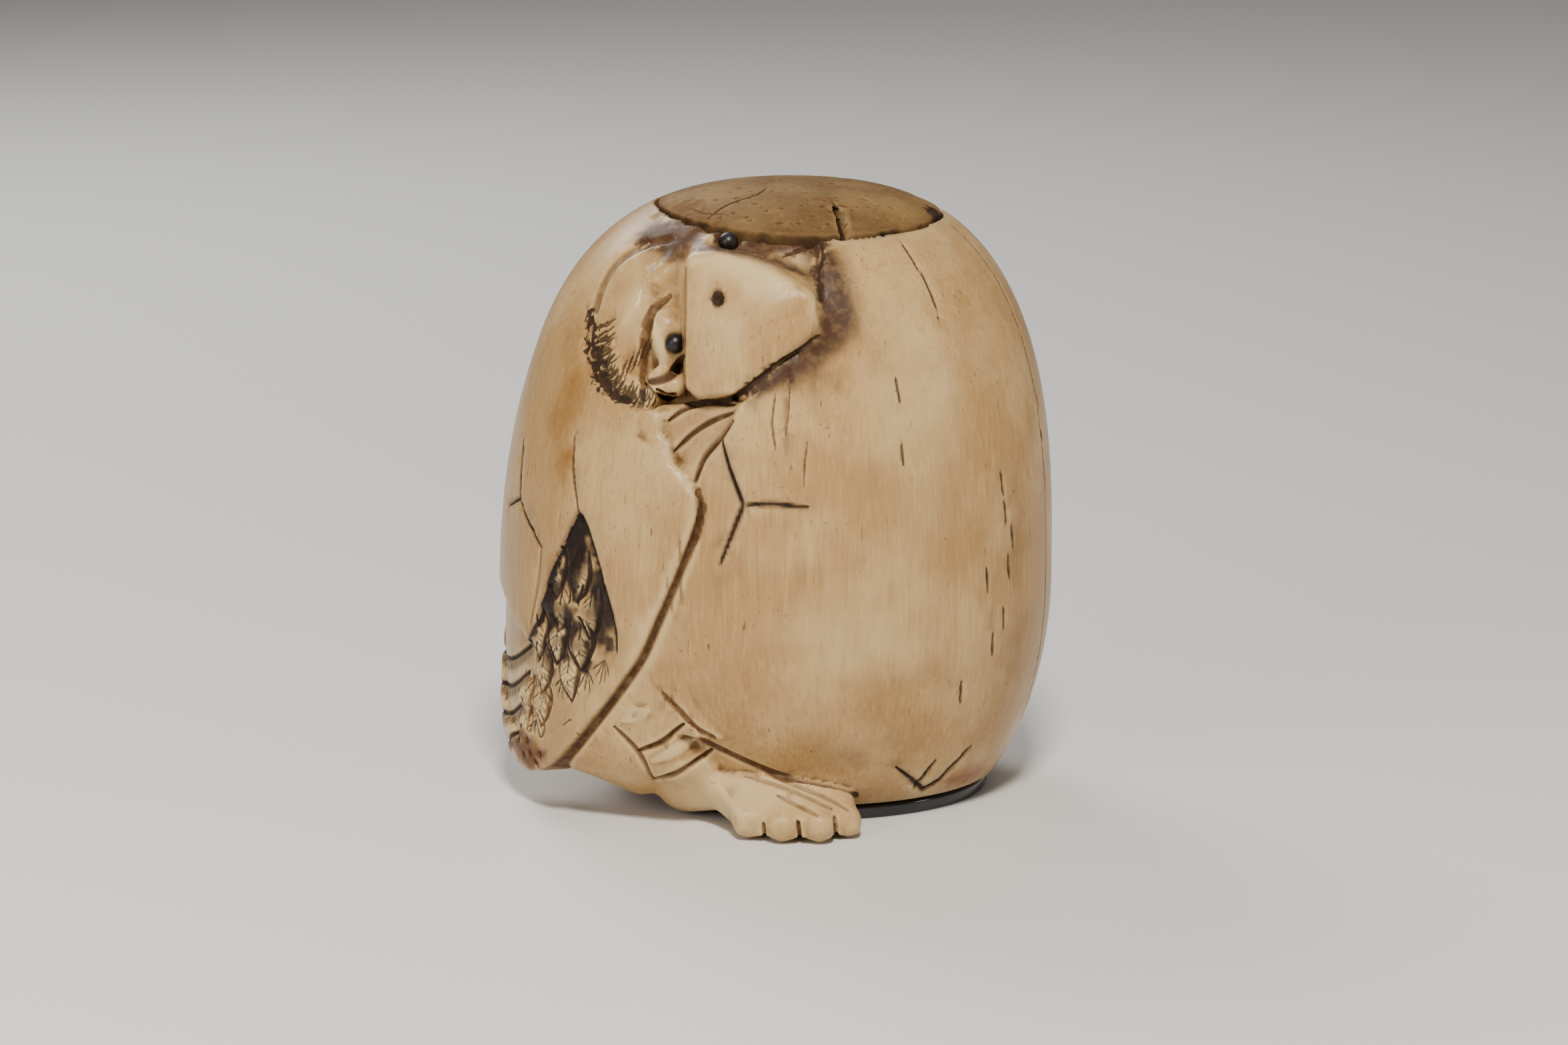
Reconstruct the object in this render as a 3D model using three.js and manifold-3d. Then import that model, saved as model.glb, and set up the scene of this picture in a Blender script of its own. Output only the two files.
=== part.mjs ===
// Netsuke of a beaked tengu hatching from an egg, carved in one piece of bone, with an inserted
// crown plug, a dark disc under the base and inlaid dark pupils.
// Millimetres, +Z up. The front faces -Y. The origin is on the ground under the egg's own axis.
import * as THREE from "three";
import { mergeVertices } from "three/addons/utils/BufferGeometryUtils.js";
import { ConvexGeometry } from "three/addons/geometries/ConvexGeometry.js";
import { TessellateModifier } from "three/addons/modifiers/TessellateModifier.js";
import Module from "manifold-3d";

const wasm = await Module();
wasm.setup();

// ---- driving dimensions ----
const DEPTH_RATIO = 0.9; // front to back, against side to side
const EGG = { waist: 14, radius: 16.8, rise: 24.3, risePower: 2.8, drop: 17.8, dropPower: 2 };
const BASE_SLIDE = 1.7; // how far the base has moved to +X from the waist's axis
const CROWN_LEAN = 0.45; // how far the crown leans to +X
const BASE_CUT = 1.1; // the egg is cut flat here, just above the disc
// The folded wing and the shell over it swell out of the egg's left side.
const MANTLE = { waist: 10, radius: 17.9, rise: 28.3, risePower: 2.5, drop: 11.3, dropPower: 5 };
const MANTLE_WALL = 2.4;
const UNDERCUT = { front: 60, back: 125, top: 8 }; // the wing's tip stands clear of the egg here
const MANTLE_TOP = 30; // above this the mantle is inside the egg
const SECTOR = { inner: 11.5, outer: 19, grain: 4, mmPerDegree: 0.28 };
const FEATHER_DEPTH = 0.4;
const FACE_TILT = THREE.MathUtils.degToRad(12); // the head's frame leans back from vertical
const HEAD_DEPTH = 2.6;
const BROW_DEPTH = 0.25; // where the opening runs up to the plug
const NECK_DEPTH = 1.1;
const PUPIL = 0.62;
const PUPIL_GAP = 0.08;
const CRACK = { width: 0.34, depth: 0.35 };
const PLUG = { x: 0.95, radius: 8.75, foot: 34, joint: 0.15 };
const DISC = { x: 2, y: 0.2, radius: 10.9, thickness: 0.85, chamfer: 0.18, clearance: 0.25 };
const CORD_HOLE = { azimuth: 180, low: 12, high: 20.5, radius: 1.6, depth: 5 };
const AROUND = 42; // facets around the egg

const COLOURS = { bone: 0xcbb48c, plug: 0xc2a87c, horn: 0x0d0d10, pupil: 0x17110d };

// ---- solids ----
function solid(geometry) {
  geometry.deleteAttribute("normal");
  geometry.deleteAttribute("uv");
  const merged = mergeVertices(geometry, 1e-4);
  const make = (triVerts) =>
    new wasm.Manifold(
      new wasm.Mesh({ numProp: 3, vertProperties: merged.attributes.position.array, triVerts }),
    );
  const made = make(new Uint32Array(merged.index.array));
  return made.volume() < 0 ? make(new Uint32Array(merged.index.array).reverse()) : made;
}

const union = (solids) => solids.reduce((all, next) => all.add(next));

// The outer body alone, without crumbs of air shut in under overlapping feathers.
const outerBody = (shape) =>
  shape.decompose().reduce((best, body) => (body.volume() > best.volume() ? body : best));

function meshOf(name, shape, material) {
  const { numProp, vertProperties, triVerts } = shape.getMesh();
  const geometry = new THREE.BufferGeometry();
  const positions = new THREE.InterleavedBuffer(vertProperties, numProp);
  geometry.setAttribute("position", new THREE.InterleavedBufferAttribute(positions, 3, 0));
  geometry.setIndex(new THREE.BufferAttribute(triVerts, 1));
  const flat = geometry.toNonIndexed();
  flat.computeVertexNormals();
  const mesh = new THREE.Mesh(flat, material);
  mesh.name = name;
  return mesh;
}

// ---- the egg's surface: radius and axis by height, and points on it by azimuth ----
function radiusAt(shell, z, grow = 0) {
  const up = THREE.MathUtils.clamp((z - shell.waist) / (shell.rise + grow), 0, 1);
  const down = THREE.MathUtils.clamp((shell.waist - z) / (shell.drop + grow), 0, 1);
  const share = up > 0 ? (1 - up ** shell.risePower) ** (1 / shell.risePower)
    : (1 - down ** shell.dropPower) ** (1 / shell.dropPower);
  return (shell.radius + grow) * share;
}

function axisAt(shell, z) {
  if (shell === MANTLE) return 0;
  const low = Math.max(0, (EGG.waist - z) / (EGG.waist - DISC.thickness));
  const high = Math.max(0, (z - EGG.waist) / EGG.rise);
  return BASE_SLIDE * low ** 2 + CROWN_LEAN * high ** 4;
}

// Azimuth 0 is the front, negative to the viewer's left, in degrees.
function around(shell, azimuth, z, radius) {
  const a = THREE.MathUtils.degToRad(azimuth);
  return new THREE.Vector3(
    axisAt(shell, z) + radius * Math.sin(a),
    -DEPTH_RATIO * radius * Math.cos(a),
    z,
  );
}

const onShell = (shell, azimuth, z, grow = 0) =>
  around(shell, azimuth, z, radiusAt(shell, z, grow));

// The whole egg, grown or shrunk evenly, from the height floor up.
function shellSolid(shell, grow = 0, floor = BASE_CUT) {
  const profile = [new THREE.Vector2(0, floor)];
  const lowAngle = Math.asin(
    Math.min(1, ((shell.waist - floor) / (shell.drop + grow)) ** (shell.dropPower / 2)),
  );
  const lowRows = 7, highRows = 12;
  for (let i = 0; i < lowRows; i++) {
    const angle = lowAngle * (1 - i / lowRows);
    const z = shell.waist - (shell.drop + grow) * Math.sin(angle) ** (2 / shell.dropPower);
    profile.push(new THREE.Vector2(radiusAt(shell, z, grow), z));
  }
  for (let i = 0; i < highRows; i++) {
    const angle = (Math.PI / 2) * (i / highRows);
    const z = shell.waist + (shell.rise + grow) * Math.sin(angle) ** (2 / shell.risePower);
    profile.push(new THREE.Vector2(radiusAt(shell, z, grow), z));
  }
  profile.push(new THREE.Vector2(0, shell.waist + shell.rise + grow));
  const geometry = new THREE.LatheGeometry(profile, AROUND);
  const p = geometry.attributes.position;
  for (let i = 0; i < p.count; i++) {
    const z = p.getY(i);
    p.setXYZ(i, axisAt(shell, z) + p.getX(i), -DEPTH_RATIO * p.getZ(i), z);
  }
  return solid(geometry);
}

// ---- cutters ----
const v2 = (points) => points.map(([x, y]) => new THREE.Vector2(x, y));

// A smooth line through a few points.
const through = (points, steps) =>
  new THREE.SplineCurve(points.map(([x, y]) => new THREE.Vector2(x, y))).getPoints(steps);

// A block of space in the egg's skin whose outline is given in azimuth and height. It is cut
// into small facets before it is bent round the egg, so its walls stay smooth.
function sector(shell, outline, inner = SECTOR.inner) {
  const flat = outline.map((p) => new THREE.Vector2(p.x * SECTOR.mmPerDegree, p.y));
  const geometry = new TessellateModifier(SECTOR.grain, 8).modify(
    new THREE.ExtrudeGeometry(new THREE.Shape(flat), {
      depth: SECTOR.outer - inner, bevelEnabled: false,
    }),
  );
  const p = geometry.attributes.position;
  for (let i = 0; i < p.count; i++) {
    const at = around(shell, p.getX(i) / SECTOR.mmPerDegree, p.getY(i), inner + p.getZ(i));
    p.setXYZ(i, at.x, at.y, at.z);
  }
  return solid(geometry);
}

// A V-shaped groove along a path of [azimuth, height] on a shell.
function groove(shell, path, width, depth) {
  const lift = 0.5, flare = 1.6;
  const cuts = [];
  for (let i = 0; i + 1 < path.length; i++) {
    const [a, b] = [path[i], path[i + 1]].map(([azimuth, z]) => ({
      top: onShell(shell, azimuth, z, lift), foot: onShell(shell, azimuth, z, -depth),
    }));
    const along = b.top.clone().sub(a.top);
    const out = a.top.clone().sub(a.foot);
    const side = along.cross(out).normalize().multiplyScalar(width / 2);
    const points = [];
    for (const end of [a, b]) {
      points.push(end.top.clone().addScaledVector(side, flare));
      points.push(end.top.clone().addScaledVector(side, -flare));
      points.push(end.foot.clone().addScaledVector(side, 0.3));
      points.push(end.foot.clone().addScaledVector(side, -0.3));
    }
    cuts.push(solid(new ConvexGeometry(points)));
  }
  return union(cuts);
}

// ---- the head's own frame: u to the right, v up the face, w out of it ----
const face = (u, v, w) =>
  new THREE.Vector3(
    u,
    v * Math.sin(FACE_TILT) - w * Math.cos(FACE_TILT),
    v * Math.cos(FACE_TILT) + w * Math.sin(FACE_TILT),
  );

const faceBasis = new THREE.Matrix4().makeBasis(face(1, 0, 0), face(0, 1, 0), face(0, 0, 1));

function faceCut(outline, depth) {
  const geometry = new THREE.ExtrudeGeometry(new THREE.Shape(outline), {
    depth: 30, bevelEnabled: false,
  });
  return solid(geometry.applyMatrix4(faceBasis)).subtract(shellSolid(EGG, -depth, 0));
}

// ---- rounded forms ----
function ellipsoid(centre, [a, b, c], rotation = [0, 0, 0], segments = 16) {
  const geometry = new THREE.SphereGeometry(1, segments, segments / 2).scale(a, b, c);
  geometry.applyMatrix4(new THREE.Matrix4().makeRotationFromEuler(new THREE.Euler(...rotation)));
  return geometry.translate(centre.x, centre.y, centre.z);
}

const faceEllipsoid = (u, v, w, semi, turn = 0, segments = 16) => {
  const geometry = ellipsoid(new THREE.Vector3(), semi, [0, 0, turn], segments);
  const at = face(u, v, w);
  return solid(geometry.applyMatrix4(faceBasis).translate(at.x, at.y, at.z));
};

// The skin stretched over a set of balls, each [centre, radius].
function skinOver(balls, segments = 8) {
  const points = [];
  for (const [centre, radius] of balls) {
    const p = new THREE.SphereGeometry(radius, segments, segments / 2 + 1).attributes.position;
    for (let i = 0; i < p.count; i++)
      points.push(new THREE.Vector3().fromBufferAttribute(p, i).add(centre));
  }
  return solid(new ConvexGeometry(points));
}

// A ball on the egg whose top stands out of the surface by bulge.
const ballOnEgg = (azimuth, z, radius, bulge) =>
  [onShell(EGG, azimuth, z, bulge - radius), radius];

const ball = (x, y, z, radius) => [new THREE.Vector3(x, y, z), radius];
const faceBall = (u, v, w, radius) => [face(u, v, w), radius];

// ---- the left side: folded wing under the shell ----
const WING_FRONT = [
  [-29, 26.2], [-24.5, 23.8], [-18.3, 21.8], [-17.4, 20.3], [-21, 17], [-25.9, 13.5],
  [-30.4, 10.8], [-40.8, 6.9], [-51.3, 3.9], [-59.2, 2.7], [-70, 2],
];
const WING_BACK = [[-80, 2.4], [-95, 6], [-108, 11.5], [-118, 18], [-124, 25]];

function wing() {
  const outline = [
    ...through(WING_FRONT, 20), ...through(WING_BACK, 7),
    new THREE.Vector2(-124, MANTLE_TOP), new THREE.Vector2(-29, MANTLE_TOP),
  ];
  const hollow = v2([[-UNDERCUT.back, -2], [-UNDERCUT.front, -2], [-UNDERCUT.front, UNDERCUT.top],
    [-UNDERCUT.back, UNDERCUT.top]]);
  const behindTip = sector(MANTLE, hollow).intersect(shellSolid(MANTLE, -MANTLE_WALL, -2));
  return sector(MANTLE, outline).intersect(shellSolid(MANTLE, 0, 0)).subtract(behindTip);
}

// The opening in the shell: a pointed window, and the field of feathers below the pointed flap.
const FIELD_RIGHT = [
  [-45.8, 19.7], [-43.1, 19], [-38.5, 16], [-34.6, 12.7], [-36, 10.6], [-46, 7.4], [-58, 5],
  [-70, 4.2],
];
const FIELD_LEFT = [[-84, 5.6], [-98, 9.6], [-106, 13.8]];
const FLAP = [[-90, 13.4], [-79.4, 12.9], [-68.2, 11.6], [-61.7, 10.7]];
const FLAP_RIGHT = [[-57.9, 12.4], [-53.6, 15.3], [-48.3, 18.4]];

function featherField() {
  const outline = [
    ...through(FIELD_RIGHT, 18), ...through(FIELD_LEFT, 5), ...through(FLAP, 6),
    ...through(FLAP_RIGHT, 4),
  ];
  return sector(MANTLE, outline).subtract(shellSolid(MANTLE, -FEATHER_DEPTH, 0));
}

// Overlapping leaf-shaped feathers in staggered rows, each lifted at its lower end.
function feathers() {
  const rows = 6, topZ = 16, rowStep = 2.1;
  const leaves = [];
  for (let row = 0; row < rows; row++) {
    const z = topZ - row * rowStep;
    const left = -54 - row * 3, right = -39.5 - Math.max(0, row - 2) * 6.5;
    const count = Math.max(2, Math.round((right - left) / 7));
    for (let i = 0; i < count; i++) {
      const azimuth = left + ((right - left) * (i + 0.25 + 0.5 * (row % 2))) / count;
      const at = onShell(MANTLE, azimuth, z, -FEATHER_DEPTH - 0.05);
      const turn = THREE.MathUtils.degToRad(azimuth);
      leaves.push(solid(ellipsoid(at, [1.15, 0.38, 1.7], [0.13, 0.3, turn], 7)));
    }
  }
  return union(leaves);
}

// Long flight feathers lie round the side like boards, each under the one above.
function flightFeatherGrooves() {
  const boards = 4, topZ = 9.6, step = 1.75;
  return union(Array.from({ length: boards }, (_, k) => {
    const z = topZ - k * step;
    const path = [[-63 - k, z + 0.9], [-70 - k, z - 0.15], [-79, z - 0.95], [-91, z - 1.4], [-104, z - 1.3]];
    const dense = through(path, 3).map((p) => [p.x, p.y]);
    return groove(MANTLE, dense, 0.35, 0.4);
  }));
}

// ---- the head in its opening ----
const HEAD_RIM = [
  [-7, 33.2], [-8.8, 33.3], [-10.4, 31.9], [-11.6, 29.8], [-12.1, 27.3], [-11.5, 25.1],
  [-9.8, 23.6], [-7.7, 23],
];
const HEAD_RIGHT = [[-2.6, 23.4], [0.6, 25.6], [2.1, 28], [2.1, 30.4], [-0.7, 31.2], [-3.8, 32.4]];
const BROW = [[-7.4, 35.8], [-9.4, 33.4], [-10, 32], [-3.8, 31], [2.1, 29.4], [2, 34.6], [-3.8, 35.8]];
const NECK_LEFT = [[-7.7, 23.4], [-7.4, 21.4], [-6.8, 20.1], [-5.3, 18]];
const NECK_RIGHT = [[-5.2, 18.8], [-4.9, 20.1], [-4, 21.2], [-3.3, 22.2], [-2.6, 23.6]];

function openings() {
  const head = faceCut([...through(HEAD_RIM, 14), ...v2(HEAD_RIGHT)], HEAD_DEPTH);
  const neck = faceCut([...through(NECK_LEFT, 6), ...v2(NECK_RIGHT)], NECK_DEPTH);
  const brow = faceCut(v2(BROW), BROW_DEPTH);
  return union([head, neck, brow]);
}

function skull() {
  return union([
    faceEllipsoid(-8.6, 28.3, 10.9, [3.3, 5, 4.7], 0.12, 18), // forehead and hair
    faceEllipsoid(-5.4, 29, 12.2, [3.6, 5, 4], 0, 12), // face
    faceEllipsoid(-6.9, 27.5, 15.9, [1.25, 1.9, 1.15], 0.1, 14), // near eyeball
    faceEllipsoid(-4.1, 33.1, 15, [1.3, 0.85, 1.1], 0.15, 12), // far eyeball
    faceEllipsoid(-0.8, 32.2, 14.2, [3, 1.5, 2.3], -0.25, 12), // far cheek
    skinOver([faceBall(-7.6, 31, 15.1, 0.6), faceBall(-6.2, 32.7, 14.6, 0.6)], 8), // brow
    skinOver([faceBall(-8.4, 32.4, 13.2, 0.6), faceBall(-6.6, 33.6, 13.3, 0.6)], 8), // temple
    skinOver([faceBall(-7.6, 24.9, 16.1, 0.85), faceBall(-6.6, 24.6, 16.5, 0.8)], 8), // cheek
  ]);
}

// The beak is a blunt wedge: a broad near side, a rounded ridge and a shaded far side.
function beak() {
  const edge = 0.4;
  return skinOver([
    faceBall(-5.6, 32.1, 17, edge), faceBall(-3.9, 32.3, 17.7, edge), // ridge, from the brow
    faceBall(-0.7, 31, 19, edge), faceBall(1.5, 29.8, 19.6, edge), // to the tip
    faceBall(1.6, 27.9, 19.7, edge), faceBall(0.5, 26.8, 19.7, edge), // blunt tip
    faceBall(-2.9, 24.4, 19.2, edge), faceBall(-5, 24, 18.6, edge), // mouth edge
    faceBall(-5.7, 24.8, 18.2, edge), faceBall(-5.8, 28.4, 17.9, edge), // root
    faceBall(-2.5, 28.4, 19.3, edge), // the side is a little full
    faceBall(-5.2, 32.9, 14.5, edge), faceBall(-0.4, 32.1, 15.5, edge),
    faceBall(1.5, 30.6, 16.5, edge), faceBall(1.6, 27.9, 16.5, edge),
    faceBall(-2.9, 24.4, 16, edge), faceBall(-5.4, 24.6, 15.5, edge),
  ], 8);
}

// Three pleats of the collar fan out from under the beak.
function collar() {
  const knot = faceBall(-3, 23.2, 17.7, 0.5);
  return union([[-7.2, 22.6], [-6.6, 20.9], [-5.5, 19.2]].map(([u, v], k) =>
    skinOver([knot, faceBall(u, v, 16.8 + 0.35 * k, 0.85)], 8)));
}

const PUPILS = { near: [-6.55, 27.1, 16.9], far: [-3.35, 33.25, 15.6] };
const NOSTRIL = [-3.9, 29.6, 19.2];

// ---- leg and foot ----
function leg() {
  return union([
    skinOver([ballOnEgg(-45, 10.2, 3.6, 1), ballOnEgg(-36, 6, 3.4, 1)]), // trouser
    skinOver([ballOnEgg(-35.5, 5.4, 3, 1.3), ballOnEgg(-30.5, 4.4, 2.6, 1.3)]), // cuff
    skinOver([ball(-11.2, -6.6, 6.6, 3.6), ball(-8.8, -7.6, 4.2, 3.2)]), // robe's hem
  ]);
}

// Four stub toes, side by side, cleft only at their ends.
const TOES = [
  { root: [-1.9, -12.2, 1.35], tip: [-2.2, -13.7, 1.2] },
  { root: [-0.1, -12.5, 1.35], tip: [-0.1, -14.6, 1.15] },
  { root: [2, -12.4, 1.3], tip: [2.15, -14.7, 1.1] },
  { root: [3.2, -11.6, 1.2], tip: [3.95, -13.5, 1] },
];

function foot() {
  const heel = ball(-6.1, -8, 2, 2), ankle = ball(-5.4, -9, 3.8, 1.9);
  const arch = ball(-3.6, -10.2, 2.6, 1.8), instep = ball(0.6, -10.9, 2.6, 1.1);
  const back = skinOver([heel, ankle, arch], 8);
  const front = skinOver([
    arch, instep, ball(-2, -12.5, 1.6, 1.6), ball(3.2, -11.6, 1.4, 1.35), ball(0.9, -12.7, 1.6, 1.5),
  ], 8);
  const toes = TOES.map(({ root, tip }) =>
    skinOver([ball(...root, root[2]), ball(...tip, tip[2])], 8));
  return union([back, front, ...toes]);
}

// ---- cracks cut in the shell: three forked ones ----
const CRACKS = [
  { shell: MANTLE, paths: [
    [[-72.1, 23.1], [-70.4, 21.4], [-68.9, 19.4], [-75.9, 18.6]],
    [[-68.9, 19.4], [-63.8, 18.4], [-56.9, 17]],
  ] },
  { shell: EGG, paths: [
    [[-13.3, 24.7], [-11.5, 23.1], [-8.4, 20.9], [-11.3, 18.7], [-13.1, 17.3]],
    [[-8.4, 20.9], [-2.3, 21], [5.1, 20.8]],
  ] },
  { shell: EGG, paths: [
    [[25, 3.8], [29.1, 3], [35.6, 1.8], [40.1, 2.3], [48.5, 4.4]], [[36.8, 3.9], [32, 2]],
  ] },
];

function cracks() {
  return union(CRACKS.flatMap(({ shell, paths }) =>
    paths.map((path) => groove(shell, path, CRACK.width, CRACK.depth))));
}

// ---- the cord's channel at the back: two holes and a bent tunnel ----
function cordChannel() {
  const { azimuth, low, high, radius, depth } = CORD_HOLE;
  const out = (z, grow) => onShell(EGG, azimuth, z, grow);
  const route = new THREE.CatmullRomCurve3([
    out(high + 1.2, 2), out(high, -1), out((low + high) / 2, -depth), out(low, -1), out(low - 1.2, 2),
  ]);
  const section = new THREE.Shape().absarc(0, 0, radius, 0, Math.PI * 2);
  return solid(new THREE.ExtrudeGeometry(section, {
    extrudePath: route, steps: 14, curveSegments: 7, bevelEnabled: false,
  }));
}

const column = (x, y, radius, bottom, top, squash = 1) =>
  solid(new THREE.CylinderGeometry(radius, radius, top - bottom, AROUND)
    .rotateX(Math.PI / 2).scale(1, squash, 1).translate(x, y, (top + bottom) / 2));

function carving() {
  const above = 45;
  const seat = column(PLUG.x, 0, PLUG.radius + PLUG.joint, PLUG.foot - PLUG.joint, above);
  let body = shellSolid(EGG).add(wing());
  body = body.subtract(featherField()).add(feathers().intersect(shellSolid(MANTLE, -0.05, 0)));
  body = body.subtract(flightFeatherGrooves()).subtract(openings());
  body = union([body, skull(), collar(), beak(), leg()]);
  const room = DISC.radius + DISC.clearance;
  const discRoom = column(DISC.x, DISC.y, room, -1, BASE_CUT, DEPTH_RATIO);
  body = body.subtract(seat).add(foot()).subtract(discRoom);
  body = body.subtract(cracks()).subtract(cordChannel());
  for (const at of Object.values(PUPILS))
    body = body.subtract(faceEllipsoid(...at, Array(3).fill(PUPIL + PUPIL_GAP), 0, 12));
  return outerBody(body.subtract(faceEllipsoid(...NOSTRIL, [0.4, 0.55, 1], -0.3, 10)));
}

function crownPlug() {
  const above = 45;
  const plug = column(PLUG.x, 0, PLUG.radius, PLUG.foot, above).intersect(shellSolid(EGG));
  const stroke = groove(EGG, [[23.6, 37.4], [21.6, 37], [19.6, 36], [19.2, 35.4]], 0.5, 0.5);
  const chip = solid(ellipsoid(new THREE.Vector3(9.6, -2.2, 37), [0.9, 1.6, 0.7]));
  return plug.subtract(stroke).subtract(chip);
}

function footDisc() {
  const { radius, thickness, chamfer } = DISC;
  const profile = [
    [0, 0], [radius - chamfer, 0], [radius, chamfer], [radius, thickness - chamfer],
    [radius - chamfer, thickness], [0, thickness],
  ];
  const geometry = new THREE.LatheGeometry(v2(profile), AROUND).rotateX(Math.PI / 2);
  return solid(geometry.scale(1, DEPTH_RATIO, 1).translate(DISC.x, DISC.y, 0));
}

// ---- the scene graph ----
const finish = (color, roughness) =>
  new THREE.MeshStandardMaterial({ color, roughness, metalness: 0, flatShading: true });
const bone = finish(COLOURS.bone, 0.42);
const plugBone = finish(COLOURS.plug, 0.6);
const horn = finish(COLOURS.horn, 0.2);
const pupilHorn = finish(COLOURS.pupil, 0.25);

const netsuke = new THREE.Group();
netsuke.name = "netsuke";
netsuke.add(meshOf("egg_carving", carving(), bone));
netsuke.add(meshOf("crown_plug", crownPlug(), plugBone));
netsuke.add(meshOf("base_disc", footDisc(), horn));
for (const [name, at] of Object.entries(PUPILS)) {
  const pupil = faceEllipsoid(...at, [PUPIL, PUPIL, PUPIL], 0, 10);
  netsuke.add(meshOf(name + "_pupil", pupil, pupilHorn));
}

export default netsuke;
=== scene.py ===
# A small bone toggle carved as a bird goblin breaking out of an egg, dressed for rendering.
# Lengths in the carving work are millimetres; Blender's own are metres.
import bpy
import bmesh
import math
import numpy as np
from mathutils import Matrix, Vector


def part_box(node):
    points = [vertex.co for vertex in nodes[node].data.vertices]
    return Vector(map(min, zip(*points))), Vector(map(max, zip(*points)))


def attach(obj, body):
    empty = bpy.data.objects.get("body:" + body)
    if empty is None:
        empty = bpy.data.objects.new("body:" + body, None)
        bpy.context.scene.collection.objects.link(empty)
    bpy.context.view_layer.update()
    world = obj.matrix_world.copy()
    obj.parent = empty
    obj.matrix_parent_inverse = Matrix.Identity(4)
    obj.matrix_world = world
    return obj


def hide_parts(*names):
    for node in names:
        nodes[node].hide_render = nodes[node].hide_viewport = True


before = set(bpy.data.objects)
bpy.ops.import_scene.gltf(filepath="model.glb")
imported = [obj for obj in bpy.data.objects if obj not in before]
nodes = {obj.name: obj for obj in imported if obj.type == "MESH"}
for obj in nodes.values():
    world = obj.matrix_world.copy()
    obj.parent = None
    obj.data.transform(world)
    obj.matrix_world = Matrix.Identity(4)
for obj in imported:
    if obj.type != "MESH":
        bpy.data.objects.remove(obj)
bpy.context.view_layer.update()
mm = 0.001

# Camera, lights and floor.
studio = {
    "distance": 320, "height": 16.7, "tilt": 12, "lens": 117.2,  # of the camera; tilt in degrees
    "floorSize": 6, "floorColour": (0.78, 0.77, 0.75, 1),  # size in metres
    "worldLevel": 0.2, "worldColour": (1, 0.99, 0.97, 1),
    "lamps": [  # name, place, size, watts, colour
        ("key", (10, -225, 285), 55, 1.45, (1, 0.95, 0.88)),
        ("fill", (-200, -220, 110), 160, 0.25, (0.97, 0.98, 1)),
        ("glint", (270, -95, 100), 45, 0.05, (1, 0.98, 0.95)),
        ("back", (-140, 260, 240), 160, 0.7, (1, 1, 1)),
    ],
}


def addObject(name, bm):
    mesh = bpy.data.meshes.new(name)
    bm.to_mesh(mesh)
    bm.free()
    made = bpy.data.objects.new(name, mesh)
    bpy.context.scene.collection.objects.link(made)
    return made


def aim(thing, target):
    thing.rotation_euler = (Vector(target) * mm - thing.location).to_track_quat("-Z", "Y").to_euler()


def buildStudio(s):
    scene = bpy.context.scene
    camera = bpy.data.objects.new("camera", bpy.data.cameras.new("camera"))
    scene.collection.objects.link(camera)
    tilt = math.radians(s["tilt"])
    camera.location = Vector((0, -math.cos(tilt), math.sin(tilt))) * s["distance"] * mm
    camera.location.z += s["height"] * mm
    camera.rotation_euler = (math.pi / 2 - tilt, 0, 0)
    camera.data.lens = s["lens"]
    camera.data.clip_start = 0.01
    scene.camera = camera
    for name, place, size, watts, colour in s["lamps"]:
        lamp = bpy.data.lights.new(name, "AREA")
        lamp.size, lamp.energy, lamp.color = size * mm, watts, colour
        holder = bpy.data.objects.new(name, lamp)
        scene.collection.objects.link(holder)
        holder.location = Vector(place) * mm
        aim(holder, (0, 0, s["height"]))
    world = bpy.data.worlds.new("studio")
    scene.world = world
    world.use_nodes = True
    background = world.node_tree.nodes["Background"]
    background.inputs["Color"].default_value = s["worldColour"]
    background.inputs["Strength"].default_value = s["worldLevel"]
    bm = bmesh.new()
    bmesh.ops.create_grid(bm, x_segments=1, y_segments=1, size=s["floorSize"] / 2)
    floor = addObject("floor", bm)
    paint = Paint("floor paint", roughness=0.55)
    paint.shader.inputs["Base Color"].default_value = s["floorColour"]
    floor.data.materials.append(paint.material)
    print("studio ready")


# Shader maths.
class Shade:
    def __init__(self, tree, socket):
        self.tree, self.socket = tree, socket

    def node(self, kind, settings=None, inputs=None, out=0):
        made = self.tree.nodes.new(kind)
        for key, value in (settings or {}).items():
            setattr(made, key, value)
        for key, value in (inputs or {}).items():
            if isinstance(value, Shade):
                self.tree.links.new(value.socket, made.inputs[key])
            else:
                made.inputs[key].default_value = value
        return Shade(self.tree, made.outputs[out])

    def math(self, operation, other):
        return self.node("ShaderNodeMath", {"operation": operation}, {0: self, 1: other})

    def __add__(self, other):
        return self.math("ADD", other)

    def __sub__(self, other):
        return self.math("SUBTRACT", other)

    def __rsub__(self, other):
        return (self * -1).math("ADD", other)

    def __mul__(self, other):
        return self.math("MULTIPLY", other)

    __radd__ = __add__
    __rmul__ = __mul__

    def most(self, other):
        return self.math("MAXIMUM", other)

    def between(self, low, high, toLow=0.0, toHigh=1.0):  # a smooth step
        return self.node("ShaderNodeMapRange", {"interpolation_type": "SMOOTHSTEP"},
                         {0: self, 1: low, 2: high, 3: toLow, 4: toHigh})

    def tint(self, colour, share):  # this colour, going over to the other one
        other = colour if isinstance(colour, Shade) else (*colour, 1)
        return self.node("ShaderNodeMix", {"data_type": "RGBA"}, {0: share, 6: self, 7: other}, 2)


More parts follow.
